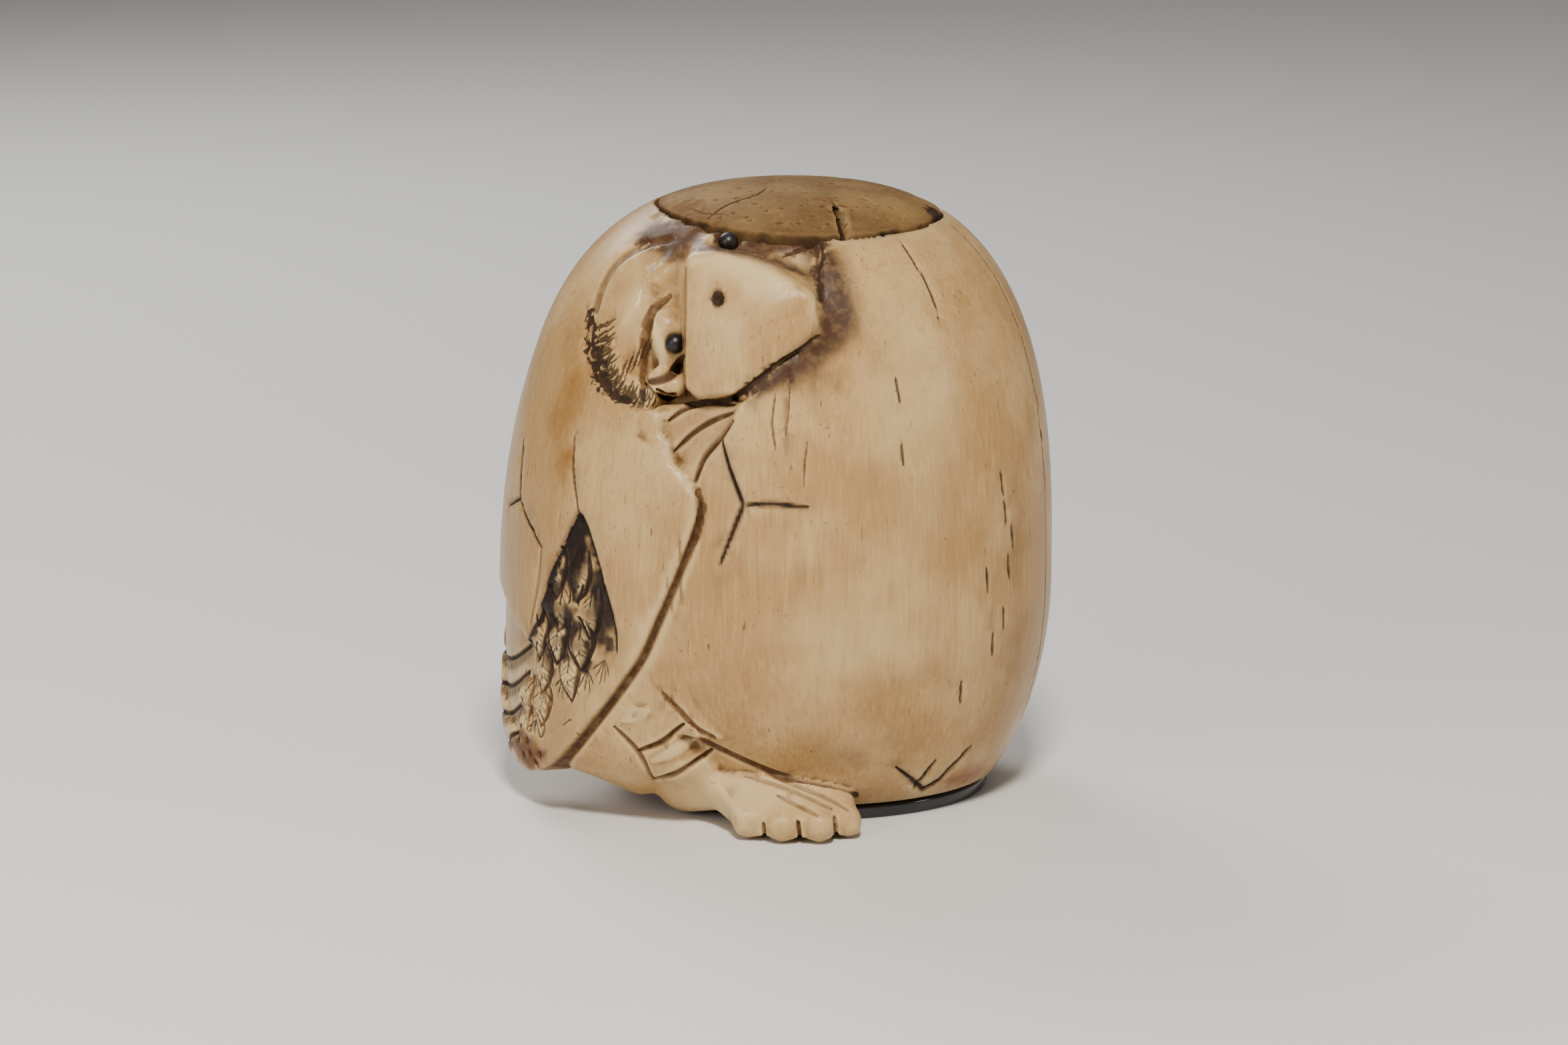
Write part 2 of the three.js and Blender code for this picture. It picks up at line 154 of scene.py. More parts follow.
class Paint:
    def __init__(self, name, **constants):
        self.material = bpy.data.materials.new(name)
        self.material.use_nodes = True
        self.tree = self.material.node_tree
        self.shader = self.tree.nodes["Principled BSDF"]
        for key, value in constants.items():  # specular_ior_level is the socket Specular IOR Level
            socket = key.replace("_", " ").title().replace("Ior", "IOR")
            self.shader.inputs[socket].default_value = value
        self.start = Shade(self.tree, None)
        self.place = self.start.node("ShaderNodeTexCoord", out="Object")

    def noise(self, scale, detail=2.0, roughness=0.5, distortion=0.0, stretch=(1, 1, 1)):
        place = self.start.node("ShaderNodeMapping", None, {"Vector": self.place, "Scale": stretch})
        return self.start.node("ShaderNodeTexNoise", None, {
            "Vector": place, "Scale": scale, "Detail": detail,
            "Roughness": roughness, "Distortion": distortion})

    def layer(self, name):  # a value kept on the mesh
        return self.start.node("ShaderNodeAttribute", {"attribute_name": name}, None, "Fac")

    def flat(self, colour):  # one colour all over, to be tinted
        return self.start.node("ShaderNodeMix", {"data_type": "RGBA"}, {0: 0.0, 6: (*colour, 1)}, 2)

    def feed(self, socket, value):
        self.tree.links.new(value.socket, self.shader.inputs[socket])

    def bump(self, height, strength, distance):
        self.feed("Normal", self.start.node("ShaderNodeBump", None, {
            "Height": height, "Strength": strength, "Distance": distance}))


# The forms of the egg and of the wing's raised shell, as the carving's source gives them.
egg = {"waist": 14, "radius": 16.8, "rise": 24.3, "risePower": 2.8, "drop": 17.8, "dropPower": 2,
       "slide": 1.7, "lean": 0.45, "floor": 0.85, "squash": 0.9}
wingShell = {"waist": 10, "radius": 17.9, "rise": 28.3, "risePower": 2.5, "drop": 11.3,
             "dropPower": 5, "slide": 0, "lean": 0, "floor": 0.85, "squash": 0.9}


def axisAt(form, z):
    # where a shell's middle lies at a height: it leans over at the top and slides at the foot
    low = np.clip((form["waist"] - z) / (form["waist"] - form["floor"]), 0, None)
    high = np.clip((z - form["waist"]) / form["rise"], 0, None)
    return form["slide"] * low ** 2 + form["lean"] * high ** 4


def shellGap(form, points):
    # distance outside a shell's skin, with the skin's own outward direction
    x, y, z = points.T
    ax, ay = x - axisAt(form, z), y / form["squash"]
    r = np.maximum(np.hypot(ax, ay), 1e-6)
    h = z - form["waist"]
    power = np.where(h > 0, form["risePower"], form["dropPower"])
    span = np.where(h > 0, form["rise"], form["drop"])
    value = (r / form["radius"]) ** power + (np.abs(h) / span) ** power - 1
    slopeR = power * (r / form["radius"]) ** (power - 1) / form["radius"]
    slopeZ = np.sign(h) * power * (np.abs(h) / span) ** (power - 1) / span
    steep = np.maximum(np.hypot(slopeR, slopeZ), 1e-6)
    out = np.c_[slopeR * ax / r, slopeR * ay / r / form["squash"], slopeZ]
    out /= np.linalg.norm(out, axis=1)[:, None]
    return value / steep, out


def turnRound(x, y):
    # degrees round the egg, 0 in front and counting up to the right
    return np.degrees(np.arctan2(x, -y / egg["squash"]))


def within(value, low, high):
    return (value > low) & (value < high)


def eased(share):
    # a ramp from 0 to 1 with soft ends
    return share * share * (3 - 2 * share)


def curve(corners, steps=6):
    # a smooth path through the corners
    corners = np.array(corners, float)
    if len(corners) < 3:
        return corners
    ends = np.vstack([2 * corners[0] - corners[1], corners, 2 * corners[-1] - corners[-2]])
    t = np.linspace(0, 1, steps, endpoint=False)[:, None]
    runs = [b + 0.5 * t * (c - a + t * (2 * a - 5 * b + 4 * c - d + t * (3 * b - a - 3 * c + d)))
            for a, b, c, d in zip(ends, ends[1:], ends[2:], ends[3:])]
    return np.vstack(runs + [corners[-1:]])


def nearest(spots, path):
    # distance to a path, and how far along it the nearest place is
    best, along = np.full(len(spots), 1e9), np.zeros(len(spots))
    lengths = np.linalg.norm(np.diff(path, axis=0), axis=1)
    done = 0
    for a, b, length in zip(path, path[1:], lengths):
        t = np.clip((spots - a) @ (b - a) / max(length, 1e-9) ** 2, 0, 1)
        away = np.linalg.norm(spots - a - t[:, None] * (b - a), axis=1)
        closer = away < best
        best[closer] = away[closer]
        along[closer] = ((done + t * length) / lengths.sum())[closer]
        done += length
    return best, along


def cloud(points, size, seed):
    # a smooth random field from -1 to 1 with features about size across
    table = np.random.default_rng(seed).uniform(-1, 1, (64, 64, 64))
    q = points / size
    cell = np.floor(q).astype(int)
    f = eased(q - cell)
    total = np.zeros(len(points))
    for corner in np.ndindex(2, 2, 2):
        share = np.prod(np.where(corner, f, 1 - f), axis=1)
        at = (cell + corner) & 63
        total += share * table[at[:, 0], at[:, 1], at[:, 2]]
    return total


# Marks: grooves, stains, painted shade and painted highlights laid on by flat charts of the carving.
# Chart "face" looks straight at the face, "plan" looks down, and the others are unrolled round the shells:
# degrees and height.
tiltSin, tiltCos = math.sin(math.radians(12)), math.cos(math.radians(12))
ahead = np.array((0, -tiltCos, tiltSin))  # the way the face looks
turnScale = 0.3  # millimetres of chart to a degree round the egg
unrolled = ("egg", "wing", "shell")
# the dark layers also carry painted shade, and the light layer painted highlights
layerNames = ("ink", "soil", "smoke", "amber", "rust", "pale")


class Marks:
    def __init__(self, points, normals):
        x, y, z = points.T
        self.points = points
        self.eggGap, self.wingGap = shellGap(egg, points)[0], shellGap(wingShell, points)[0]
        self.turn, self.wingTurn = turnRound(x - axisAt(egg, z), y), turnRound(x, y)
        out = -y * tiltCos + z * tiltSin
        overWing = np.c_[self.wingTurn * turnScale, z]
        self.charts = {  # flat places, and where the chart holds
            "face": (np.c_[x, y * tiltSin + z * tiltCos], (out > 9) & (normals @ ahead > -0.2)),
            "egg": (np.c_[self.turn * turnScale, z], np.abs(self.eggGap) < 1.4),
            "wing": (overWing, (np.abs(self.wingGap) < 1.3) & (self.wingTurn < -12) & (
                self.eggGap > 0.12)),
            "shell": (overWing, np.maximum(self.eggGap, self.wingGap) > -1.5),
            "plan": (np.c_[x, y], np.ones(len(x), bool)),
        }
        self.depth = np.zeros(len(points))
        self.layers = {name: np.zeros(len(points)) for name in layerNames}

    def chartOf(self, name):
        flat, mask = self.charts[name]
        return flat, mask, (turnScale, 1) if name in unrolled else (1, 1)

    # How far out of an oval each place lies: 1 at its rim.
    def away(self, chart, centre, radii):
        flat, mask, scale = self.chartOf(chart)
        return np.hypot(*((flat - np.array(centre) * scale) / (np.array(radii) * scale)).T), mask

    def deepen(self, name, strength):
        self.layers[name] = np.maximum(self.layers[name], strength)

    def lay(self, at, share, depth, layers):
        self.depth[at] = np.maximum(self.depth[at], depth * share) if depth > 0 else (
            self.depth[at] + depth * share)
        for name, strength in layers.items():
            self.layers[name][at] = np.maximum(self.layers[name][at], strength * share)

    # A stroke along a path. It thins to its ends where taper is set, and width is half the whole
    # or such halves for the start and the end.
    def line(self, chart, path, width, depth=0.0, where=None, taper=True, soft=False, rough=0,
             bend=True, **layers):
        flat, mask, scale = self.chartOf(chart)
        path = (curve(path) if bend else np.array(path, float)) * scale
        wide = width if isinstance(width, tuple) else (width, width)
        reach = max(wide)
        near = mask & np.all((flat > path.min(0) - reach) & (flat < path.max(0) + reach), axis=1)
        if where is not None:
            near &= where
        at = np.flatnonzero(near)
        if not len(at):
            return
        best, along = nearest(flat[at], path)
        half = wide[0] + (wide[1] - wide[0]) * along
        if taper:
            half = half * (0.35 + 0.65 * np.sin(np.pi * np.clip(along, 0.02, 0.98)) ** 0.5)
        if rough:
            best = best + rough * half * cloud(self.points[at], 0.22, 4)
        share = np.clip(1 - best / half, 0, 1)
        share = np.clip(share * (1.5 if soft else 2), 0, 1)
        self.lay(at, eased(share) if soft else share, depth, layers)

    # Which points lie inside an outline on a chart.
    def inside(self, chart, outline):
        flat, mask, scale = self.chartOf(chart)
        x, y = flat.T
        corners = np.array(outline, float) * scale
        held = np.zeros(len(x), bool)
        for (ax, ay), (bx, by) in zip(corners, np.roll(corners, -1, axis=0)):
            if ay != by:
                held ^= ((ay > y) != (by > y)) & (x < (bx - ax) * (y - ay) / (by - ay) + ax)
        return held & mask

    # Lightens the dark marks already laid in an oval, down to a share of what they were.
    def clear(self, chart, centre, radii, keep):
        away, mask = self.away(chart, centre, radii)
        share = np.clip(2.5 * (1 - away), 0, 1) * mask
        for name in ("ink", "smoke", "soil"):
            self.layers[name] *= 1 - (1 - keep) * share

    # A soft-edged patch with an uneven outline.
    def patch(self, chart, centre, radii, rough=0.25, seed=3, where=None, edge=1.5, **layers):
        away, mask = self.away(chart, centre, radii)
        near = mask & (away < 1.6)
        if where is not None:
            near &= where
        at = np.flatnonzero(near)
        wobble = rough * cloud(self.points[at], 0.25 * min(radii), seed)
        self.lay(at, eased(np.clip(edge * (1 - away[at] + wobble), 0, 1)), 0, layers)


# What is cut and stained where.
def markCracks(m):
    # three forked cracks, inked, and the hairlines of the shell
    forks = [
        ("wing", [(-72.1, 23.1), (-70.4, 21.4), (-68.9, 19.4), (-75.9, 18.6)], 0.13),
        ("wing", [(-68.9, 19.4), (-63.8, 18.4), (-56.9, 17)], 0.13),
        ("egg", [(-13.3, 24.7), (-11.5, 23.1), (-8.4, 20.9), (-11.3, 18.7), (-13.1, 17.3)], 0.17),
        ("egg", [(-8.4, 20.9), (-2.3, 21), (5.1, 20.8)], 0.17),
        ("egg", [(25, 3.8), (29.1, 3), (35.6, 1.8), (40.1, 2.3), (48.5, 4.4)], 0.2),
        ("egg", [(36.8, 3.9), (32, 2)], 0.17),
    ]
    for chart, path, width in forks:
        m.line(chart, path, width, 0.1, bend=False, ink=1)
        m.line(chart, path, width * 2.2, bend=False, soil=0.5)
    hairlines = [
        ("egg", [(39.5, 36.2), (40.1, 34.3), (41, 33.2), (40.7, 31)], 0.1, 0.9, 0.5),
        ("wing", [(-45.7, 19.6), (-46.5, 20.4), (-48.8, 22.3), (-49.9, 24.2)], 0.12, 0.4, 0.9),
        ("wing", [(-56.9, 17), (-57.6, 14.8), (-60.5, 12)], 0.22, 0, 0.5),
        ("egg", [(-2, 27.5), (-2.6, 25.8), (-1.7, 24.1)], 0.12, 0, 0.55),
        ("egg", [(1.2, 29), (0.9, 26.6), (0.2, 24.9)], 0.1, 0, 0.5),
        ("egg", [(5, 24.9), (4.3, 23.3), (4.1, 21.9)], 0.1, 0, 0.45),
    ]
    for chart, path, width, ink, soil in hairlines:
        m.line(chart, path, width, 0.08, ink=ink, soil=soil)
    side = [(76, 36), (75.5, 31), (75, 24), (75, 16), (75.5, 9), (77, 4.7)]
    m.line("egg", side, 0.11, 0.09, taper=False, ink=0.55, soil=0.9)
    pores = [(52.7, 21.1), (53.5, 19.2), (54.5, 15.8), (40.8, 8.4), (25.5, 27.5), (25.4, 23.8),
             (47.2, 15.3), (56, 17.6), (49.5, 11.2), (53, 12.6)]
    for turn, z in pores:
        m.line("egg", [(turn, z + 0.8), (turn + 0.5, z - 0.8)], 0.13, 0.08, ink=0.7, soil=0.9)


def markGrain(m):
    # short vertical streaks where the bone's canals come out, most of them on the right
    draw = np.random.default_rng(11)
    for _ in range(150):
        turn, z = draw.uniform(-30, 175), draw.uniform(3, 34)
        long, width = draw.uniform(0.5, 2.4), draw.uniform(0.05, 0.12)
        m.line("egg", [(turn, z + long), (turn + draw.uniform(-1, 1), z - long)], width,
               soil=draw.uniform(0.25, 0.75))
    for _ in range(45):
        turn, z = draw.uniform(-175, -48), draw.uniform(12, 33)
        long = draw.uniform(0.5, 1.8)
        m.line("shell", [(turn, z + long), (turn, z - long)], 0.08, soil=draw.uniform(0.2, 0.5))


def markStains(m):
    m.patch("shell", (-55, 25.8), (8, 4.6), 0.3, 5, amber=0.62)
    m.patch("shell", (-52, 22.6), (4, 1.5), 0.3, 6, amber=0.85)
    m.patch("shell", (-60, 29.5), (7, 2.4), 0.3, 7, amber=0.35)
    m.patch("egg", (9, 4.7), (11, 1), 0.5, 8, soil=0.75)
    m.patch("egg", (24, 5.3), (9, 0.9), 0.6, 9, soil=0.4)
    m.patch("egg", (52, 2.1), (14, 0.8), 0.4, 10, amber=0.95, rust=0.25)
    m.patch("egg", (58, 17.5), (5, 4), 0.6, 12, soil=0.35)
    m.patch("egg", (60, 11), (8, 3), 0.6, 13, soil=0.28)
    m.patch("egg", (32, 10), (6, 1), 0.6, 14, soil=0.22)
    m.patch("egg", (130, 12), (16, 5), 0.5, 15, amber=0.4)
    m.patch("egg", (-150, 26), (14, 4), 0.5, 16, amber=0.35)
    # painted highlights: broad light sheen on the egg's right front
    m.patch("egg", (30, 27), (17, 8), 0.2, 17, pale=0.34)
    m.patch("egg", (14, 13), (22, 4), 0.2, 18, pale=0.3)


def markHead(m):
    proud = m.eggGap > 0.5
    shell = m.eggGap < 0.45
    # dome: outline, rust spot and the hair brushed in along its lower rim
    m.line("face", [(-6.9, 33.5), (-8.6, 33.1), (-10.1, 32.2), (-11, 30.8), (-11.5, 29.2)], 0.28, 0.12,
           taper=False, soil=0.75)
    m.line("face", [(-11.75, 29.2), (-11.55, 26.8), (-11.05, 25.1), (-10.3, 24.1), (-9.1, 23.5)], 0.55,
           0.04, soft=True, rough=0.8, ink=0.6, smoke=0.9, soil=0.6)
    # painted light on the dome's lit face
    m.patch("face", (-9.2, 29.6), (1.4, 3), 0.2, 20, pale=0.45)
    m.patch("face", (-10.15, 30.6), (0.5, 1.2), 0.3, 21, amber=0.7)
    m.patch("face", (-10.1, 30.5), (0.22, 0.75), 0.3, 22, rust=1)
    draw = np.random.default_rng(5)
    hairs = 130
    for i in range(hairs):
        t = i / (hairs - 1)
        turn = math.radians(172 + 108 * t)  # round the dome's lower left
        foot = np.array((-8.6 + 2.9 * math.cos(turn), 27.6 + 4.2 * math.sin(turn)))
        lean = math.radians(22 + 52 * t + draw.uniform(-10, 10))
        foot = foot + draw.uniform(-0.25, 0.35, 2)
        long = draw.uniform(0.5, 1.2) * (1 - 0.2 * t)
        tip = foot + long * np.array((math.cos(lean), math.sin(lean)))
        bend = (foot + tip) / 2 + (0.06, -0.06)
        m.line("face", [foot, bend, tip], 0.07, 0.05, ink=0.8, soil=0.4)
    for i in range(14):
        foot = np.array((-10 + 0.13 * i, 24.7 + 0.12 * i + 0.3 * (i % 3)))
        m.line("face", [foot, foot + (0.38, 0.8)], 0.065, 0.05, ink=0.7, soil=0.4)
    # socket, lids, cheek
    m.line("face", [(-6.9, 30), (-7.9, 29.1), (-8.35, 27.6), (-8.4, 25.6), (-8.5, 23.7)], 0.42, 0.16,
           soft=True, rough=0.2, soil=0.95)
    m.line("face", [(-8.1, 28.6), (-8.2, 27.4)], 0.3, amber=0.7)
    m.line("face", [(-8.3, 24.8), (-7.5, 24.9), (-6.7, 25.3), (-6.1, 26.3)], 0.42, 0.12, soft=True,
           soil=0.9, smoke=0.5, ink=0.3)
    m.line("face", [(-7.6, 24.3), (-7.1, 23.9), (-6.5, 24)], 0.24, 0.2, ink=0.8, soil=0.9)
    m.patch("face", (-7.7, 24.2), (0.35, 0.3), 0.1, 23, pale=0.9)
    m.line("face", [(-7.9, 28.3), (-7.5, 26.9), (-7.6, 25.5)], 0.55, where=m.eggGap > -2.5, soft=True,
           pale=0.9)
    m.patch("face", (-6.5, 27.15), (0.85, 0.85), 0.1, 24, ink=0.35, smoke=0.7)
    m.line("face", [(-6.3, 31.9), (-6.5, 30.2), (-6.4, 28.4)], 0.35, where=~proud, soft=True, soil=0.6)
    m.line("face", [(-5.9, 24), (-6, 26), (-5.95, 28.6), (-5.9, 31.6)], 0.16, 0.05, soil=0.55)
    # far eye and the skin up to the plug, dark with handling
    m.line("face", [(-8.2, 33.6), (-5.6, 34), (-3, 33.6), (-0.6, 33.2), (1.9, 33)], 1.1,
           where=~proud, taper=False, soft=True, rough=0.4, smoke=0.9, soil=0.6)
    m.line("face", [(-8.8, 33.6), (-7.5, 34.3), (-6, 34.7)], 0.5, soft=True, soil=0.7, smoke=0.5)
    m.patch("face", (-6.6, 32.8), (1.4, 1), 0.3, 25, where=~proud, smoke=0.9, soil=0.6)
    m.patch("face", (-3.4, 33.35), (1, 0.8), 0.1, 27, where=~proud, ink=0.4, smoke=1)
    farLid = (-4.6, 33.45)
    cleaned, mask = m.away("face", farLid, (0.4, 0.4))
    for dark in ("smoke", "soil"):
        m.layers[dark][(cleaned < 1) & mask] *= 0.3
    m.patch("face", farLid, (0.45, 0.3), 0.1, 26, edge=2.5, pale=0.6)
    m.patch("face", (1.1, 32.1), (0.75, 0.75), 0.2, 28, where=~proud, pale=1)
    m.line("face", [(-0.1, 32.3), (1.9, 32.9), (1.8, 30.9)], 0.14, 0.1, soil=0.9, ink=0.3)
    m.line("face", [(1.95, 33.9), (2.3, 32.6), (2.1, 31.2), (2.3, 29.6)], 0.24, 0.1, soft=True,
           rough=0.4, where=shell, ink=0.7, soil=0.9)
    # shell beside and below the beak: painted shadow cast by the beak, over brown grime
    m.line("face", [(-5.9, 23.5), (-3.7, 23.6), (-2.5, 24.1), (-0.6, 25.6), (0.9, 26.7), (2.1, 27.5)],
           0.28, 0.05, where=shell, soft=True, rough=0.2, ink=0.7, soil=1)
    m.line("face", [(-1.6, 24.3), (0.2, 25.6), (1.8, 26.7), (3, 27.8), (3, 29.6), (2.7, 31.6)],
           (0.9, 1.5), where=shell, taper=False, soft=True, rough=0.5, smoke=0.85, soil=0.4)
    m.patch("face", (3.3, 29), (1.9, 3), 0.5, 29, where=shell, smoke=0.7, soil=0.3)
    m.patch("face", (1.2, 25), (2.4, 1.4), 0.5, 30, where=shell, smoke=0.45, soil=0.25)
    # beak: smooth and whitish, honey near its tip; a painted highlight runs along its ridge
    m.line("face", [(-5.4, 31.9), (-3.7, 31.9), (-1.6, 31.2), (0.4, 30.3)], 0.9, where=proud,
           soft=True, pale=0.85)
    # painted highlight on the beak's blunt end facet
    m.line("face", [(1.9, 29.8), (2, 27.6)], 0.4, where=proud, soft=True, pale=0.9)
    m.patch("face", (-3.6, 27.6), (2.6, 3.6), 0.1, 31, where=proud, pale=0.35)
    m.patch("face", (0.2, 29.4), (1.2, 1.3), 0.3, 32, where=m.eggGap > 0.1, amber=0.45)
    m.patch("face", (-8, 35), (1.2, 0.9), 0.4, 36, where=shell, soil=0.6)
    # painted shade on the beak's far face, which looks away from the light
    m.line("face", [(-5.6, 32.9), (-3.6, 32.75), (-1.2, 32.2), (1.5, 31.1)], 0.5, soft=True, smoke=0.7)
    m.patch("face", (-3.95, 29.75), (0.6, 0.72), 0.15, 33, where=proud, soil=0.7)
    m.patch("face", (-3.95, 29.72), (0.48, 0.64), 0.1, 34, edge=3, ink=0.8, soil=1)
    for u, v in [(-0.3, 28.2), (-0.9, 27.2), (-4.6, 26.3), (-3.1, 25.3), (-5.2, 29.9), (0.7, 28.5)]:
        m.patch("face", (u, v), (0.14, 0.17), 0.3, 35, where=proud, soil=0.55)


def markNeck(m):
    recess = m.eggGap < 0.2
    pleats = [
        [(-6.9, 22.4), (-5.9, 23.2), (-4.5, 23.5), (-3, 23.4)],
        [(-6.5, 20.6), (-5.4, 21.7), (-4.3, 22.4), (-3.1, 22.9)],
        [(-5.3, 18.8), (-4.8, 20.2), (-3.9, 21.3), (-3.1, 22.4)],
    ]
    for path in pleats:
        m.line("face", path, 0.22, 0.22, where=recess, ink=0.35, soil=1)
        m.line("face", path, 0.6, where=recess, soft=True, soil=0.35)
    m.patch("face", (-5.6, 21.4), (1.6, 2.4), 0.2, 40, where=m.eggGap < -0.25, soil=0.22)
    # painted highlight along the collar's worn left rim
    m.line("face", [(-7.5, 23.2), (-7.3, 21.6), (-6.7, 20), (-5.6, 18.3)], 0.22, pale=0.9)
    m.line("face", [(-7.3, 23.2), (-7, 21.7), (-6.4, 20.3), (-5.5, 18.9)], 0.25, where=m.eggGap < -0.1,
           soil=0.8)
    m.patch("face", (-2.5, 23.1), (0.5, 0.4), 0.2, 41, pale=0.6)


# The window in the wing, the leaf feathers inside it, and the wing's front edge.
windowRight = [(-45.8, 19.7), (-43, 18.9), (-38.5, 16), (-34.9, 12.9), (-34.2, 11.6)]
windowLeft = [(-45.8, 19.7), (-48.3, 18.4), (-53.6, 15.3), (-57.9, 12.4), (-61.9, 10.8)]
windowOutline = windowRight + [(-40, 8), (-62, 6)] + windowLeft[:0:-1]
leafField = [(-45.8, 19.2), (-38, 15.4), (-35.5, 11.5), (-46, 6.5), (-66, 4), (-62, 10.2), (-57, 12),
             (-53, 15)]
wingEdge = [(-18.3, 21.8), (-17.4, 20.3), (-21, 17), (-25.9, 13.5), (-30.4, 10.8), (-40.8, 6.9),
            (-51.3, 3.9), (-62, 2.2)]


def fromWingEdge(m):
    return nearest(m.charts["shell"][0], np.array(wingEdge) * (turnScale, 1))[0]


def markWing(m):
    # painted shadow in the groove below the wing's front edge
    m.line("shell", [(a + 0.4, z - 0.1) for a, z in wingEdge], (0.22, 0.34), 0.2, taper=False, soft=True,
           where=m.wingGap < -0.2, soil=1, ink=0.3)
    m.line("shell", wingEdge, (0.18, 0.3), where=m.wingGap > -0.5, taper=False, soft=True, soil=0.7)
    m.line("wing", [(-68, 4), (-76, 3.4), (-88, 4.4)], 0.3, soil=0.5)
    window = m.inside("wing", windowOutline)
    # painted shade under the lower edge of the wing's shell
    m.line("wing", [(-62, 10.9), (-68.2, 11.7), (-79.4, 13), (-92, 13.6)], 0.32,
           where=m.wingGap < -0.1, taper=False, soft=True, ink=0.7, soil=0.8)
    for edge, strength in ((windowRight, 0.3), (windowLeft, 0.65)):
        m.line("wing", edge, 0.3, where=~window, taper=False, soft=True, soil=strength)
    m.patch("wing", (-46.5, 17.4), (6, 3), 0.5, 50, where=window, ink=0.9, smoke=1)
    m.patch("wing", (-39, 14.2), (5, 3.2), 0.4, 51, where=window, ink=0.8, smoke=1)
    m.patch("wing", (-52.5, 13.4), (6, 3), 0.4, 52, where=window, ink=0.8, smoke=1)
    m.patch("wing", (-46, 12), (9, 2.2), 0.6, 53, where=window, ink=0.65, smoke=0.9)
    m.patch("wing", (-55, 10.2), (4, 1.4), 0.5, 54, where=window, ink=0.5, smoke=0.7)


def markFeathers(m):
    # veins, barbs and dark outlines on the overlapping leaves, fading towards the wing's tip
    draw = np.random.default_rng(8)
    low = m.wingGap < -0.03
    for row in range(6):
        z = 16 - row * 2.1
        left, right = -54 - row * 3, -39.5 - max(0, row - 2) * 6.5
        count = max(2, round((right - left) / 7))
        dark = (1, 1, 0.95, 0.8, 0.45, 0.15)[row]
        for i in range(count):
            turn = left + ((right - left) * (i + 0.25 + 0.5 * (row % 2))) / count
            wide, tip = draw.uniform(2.9, 3.6), np.array((turn + draw.uniform(-1.2, 0.6), z - 1.95))
            m.clear("wing", (turn + 0.3, z - 0.4), (2.2, 1.4), 0.4 + 0.35 * (row == 0))
            for side in (-1, 1):
                rim = [(turn + 0.6 * side * wide, z + 1.3), (turn + side * wide, z + 0.1),
                       (turn + 0.6 * side * wide, z - 1.1), tip]
                m.line("wing", rim, 0.19, 0.12, where=low, ink=0.95 * dark, soil=0.6 * dark)
            m.line("wing", [(turn, z + 1.1), (turn + 0.4, z - 0.2), (turn + 0.2, z - 1)], 0.1, 0.08,
                   where=low, ink=dark, soil=0.4)
            m.patch("wing", (turn, z - 0.5), (2.3, 1.2), 0.2, 60 + i, where=low, pale=0.85)
            for k in range(5):
                root = np.array((turn + 0.3, z + 0.9 - 0.42 * k))
                for side in (-1, 1):
                    tip = root + (side * draw.uniform(1.8, 2.9), draw.uniform(-0.75, -0.45))
                    m.line("wing", [root, tip], 0.065, 0.05, where=low,
                           ink=dark * draw.uniform(0.35, 0.95))
    # painted shade inside the window's edges, darkest at its point
    window = m.inside("wing", windowOutline)
    m.line("wing", windowRight, (0.8, 0.5), where=window, taper=False, soft=True, rough=0.4, ink=0.95)
    m.line("wing", windowLeft, (1, 0.6), where=window, taper=False, soft=True, rough=0.4, ink=1)
    # fans of short strokes on the lower feathers
    for turn, z in [(-50, 9), (-43, 9.8), (-56, 8), (-47, 6.6), (-61, 8.6), (-60, 5.8), (-38.5, 10.6)]:
        for lean in np.radians((-62, -35, -10, 14, 40)):
            long = draw.uniform(0.8, 1.5)
            tip = (turn + long * math.sin(lean) / turnScale, z - long * math.cos(lean))
            m.line("wing", [(turn, z + 0.2), tip], 0.085, 0.06, where=low, ink=draw.uniform(0.5, 0.9))
    # flight feathers lie round the side like boards: painted shade high on each, combed down to a painted
    # highlight at its lower edge
    for k in range(4):
        z = 9.6 - k * 1.75
        path = [(-63 - k, z + 0.9), (-70 - k, z - 0.15), (-79, z - 0.95), (-91, z - 1.4), (-104, z - 1.3),
                (-112, z - 0.9)]
        m.line("wing", path, 0.2, 0.1, taper=False, ink=0.9, soil=0.6)
        m.line("wing", [(a, h - 0.38) for a, h in path], 0.5, taper=False, soft=True, ink=0.55)
        m.line("wing", [(a, h - 1.1) for a, h in path], 0.42, taper=False, soft=True, pale=0.7)
        for a in np.arange(-110, -66 - k, 1.25):
            h = np.interp(a, [p[0] for p in path[::-1]], [p[1] for p in path[::-1]])
            long = draw.uniform(0.5, 1.15)
            m.line("wing", [(a, h - 0.1), (a + draw.uniform(-0.6, 0.6), h - long)], 0.075, 0.04,
                   ink=draw.uniform(0.4, 0.9))
    # tip of the wing, browned and pitted
    m.patch("shell", (-65, 3.7), (9, 1.7), 0.4, 70, where=m.eggGap > 0.3, amber=1, soil=0.7)
    for turn, z in [(-66, 3.4), (-62.5, 3.7), (-60.5, 3.2), (-68.5, 4.2), (-63, 4.5), (-58, 3.9)]:
        m.patch("shell", (turn, z), (1.5, 0.4), 0.5, 71, rust=1, soil=0.9)
        m.line("shell", [(turn, z + 0.15), (turn, z - 0.15)], 0.22, 0.16)


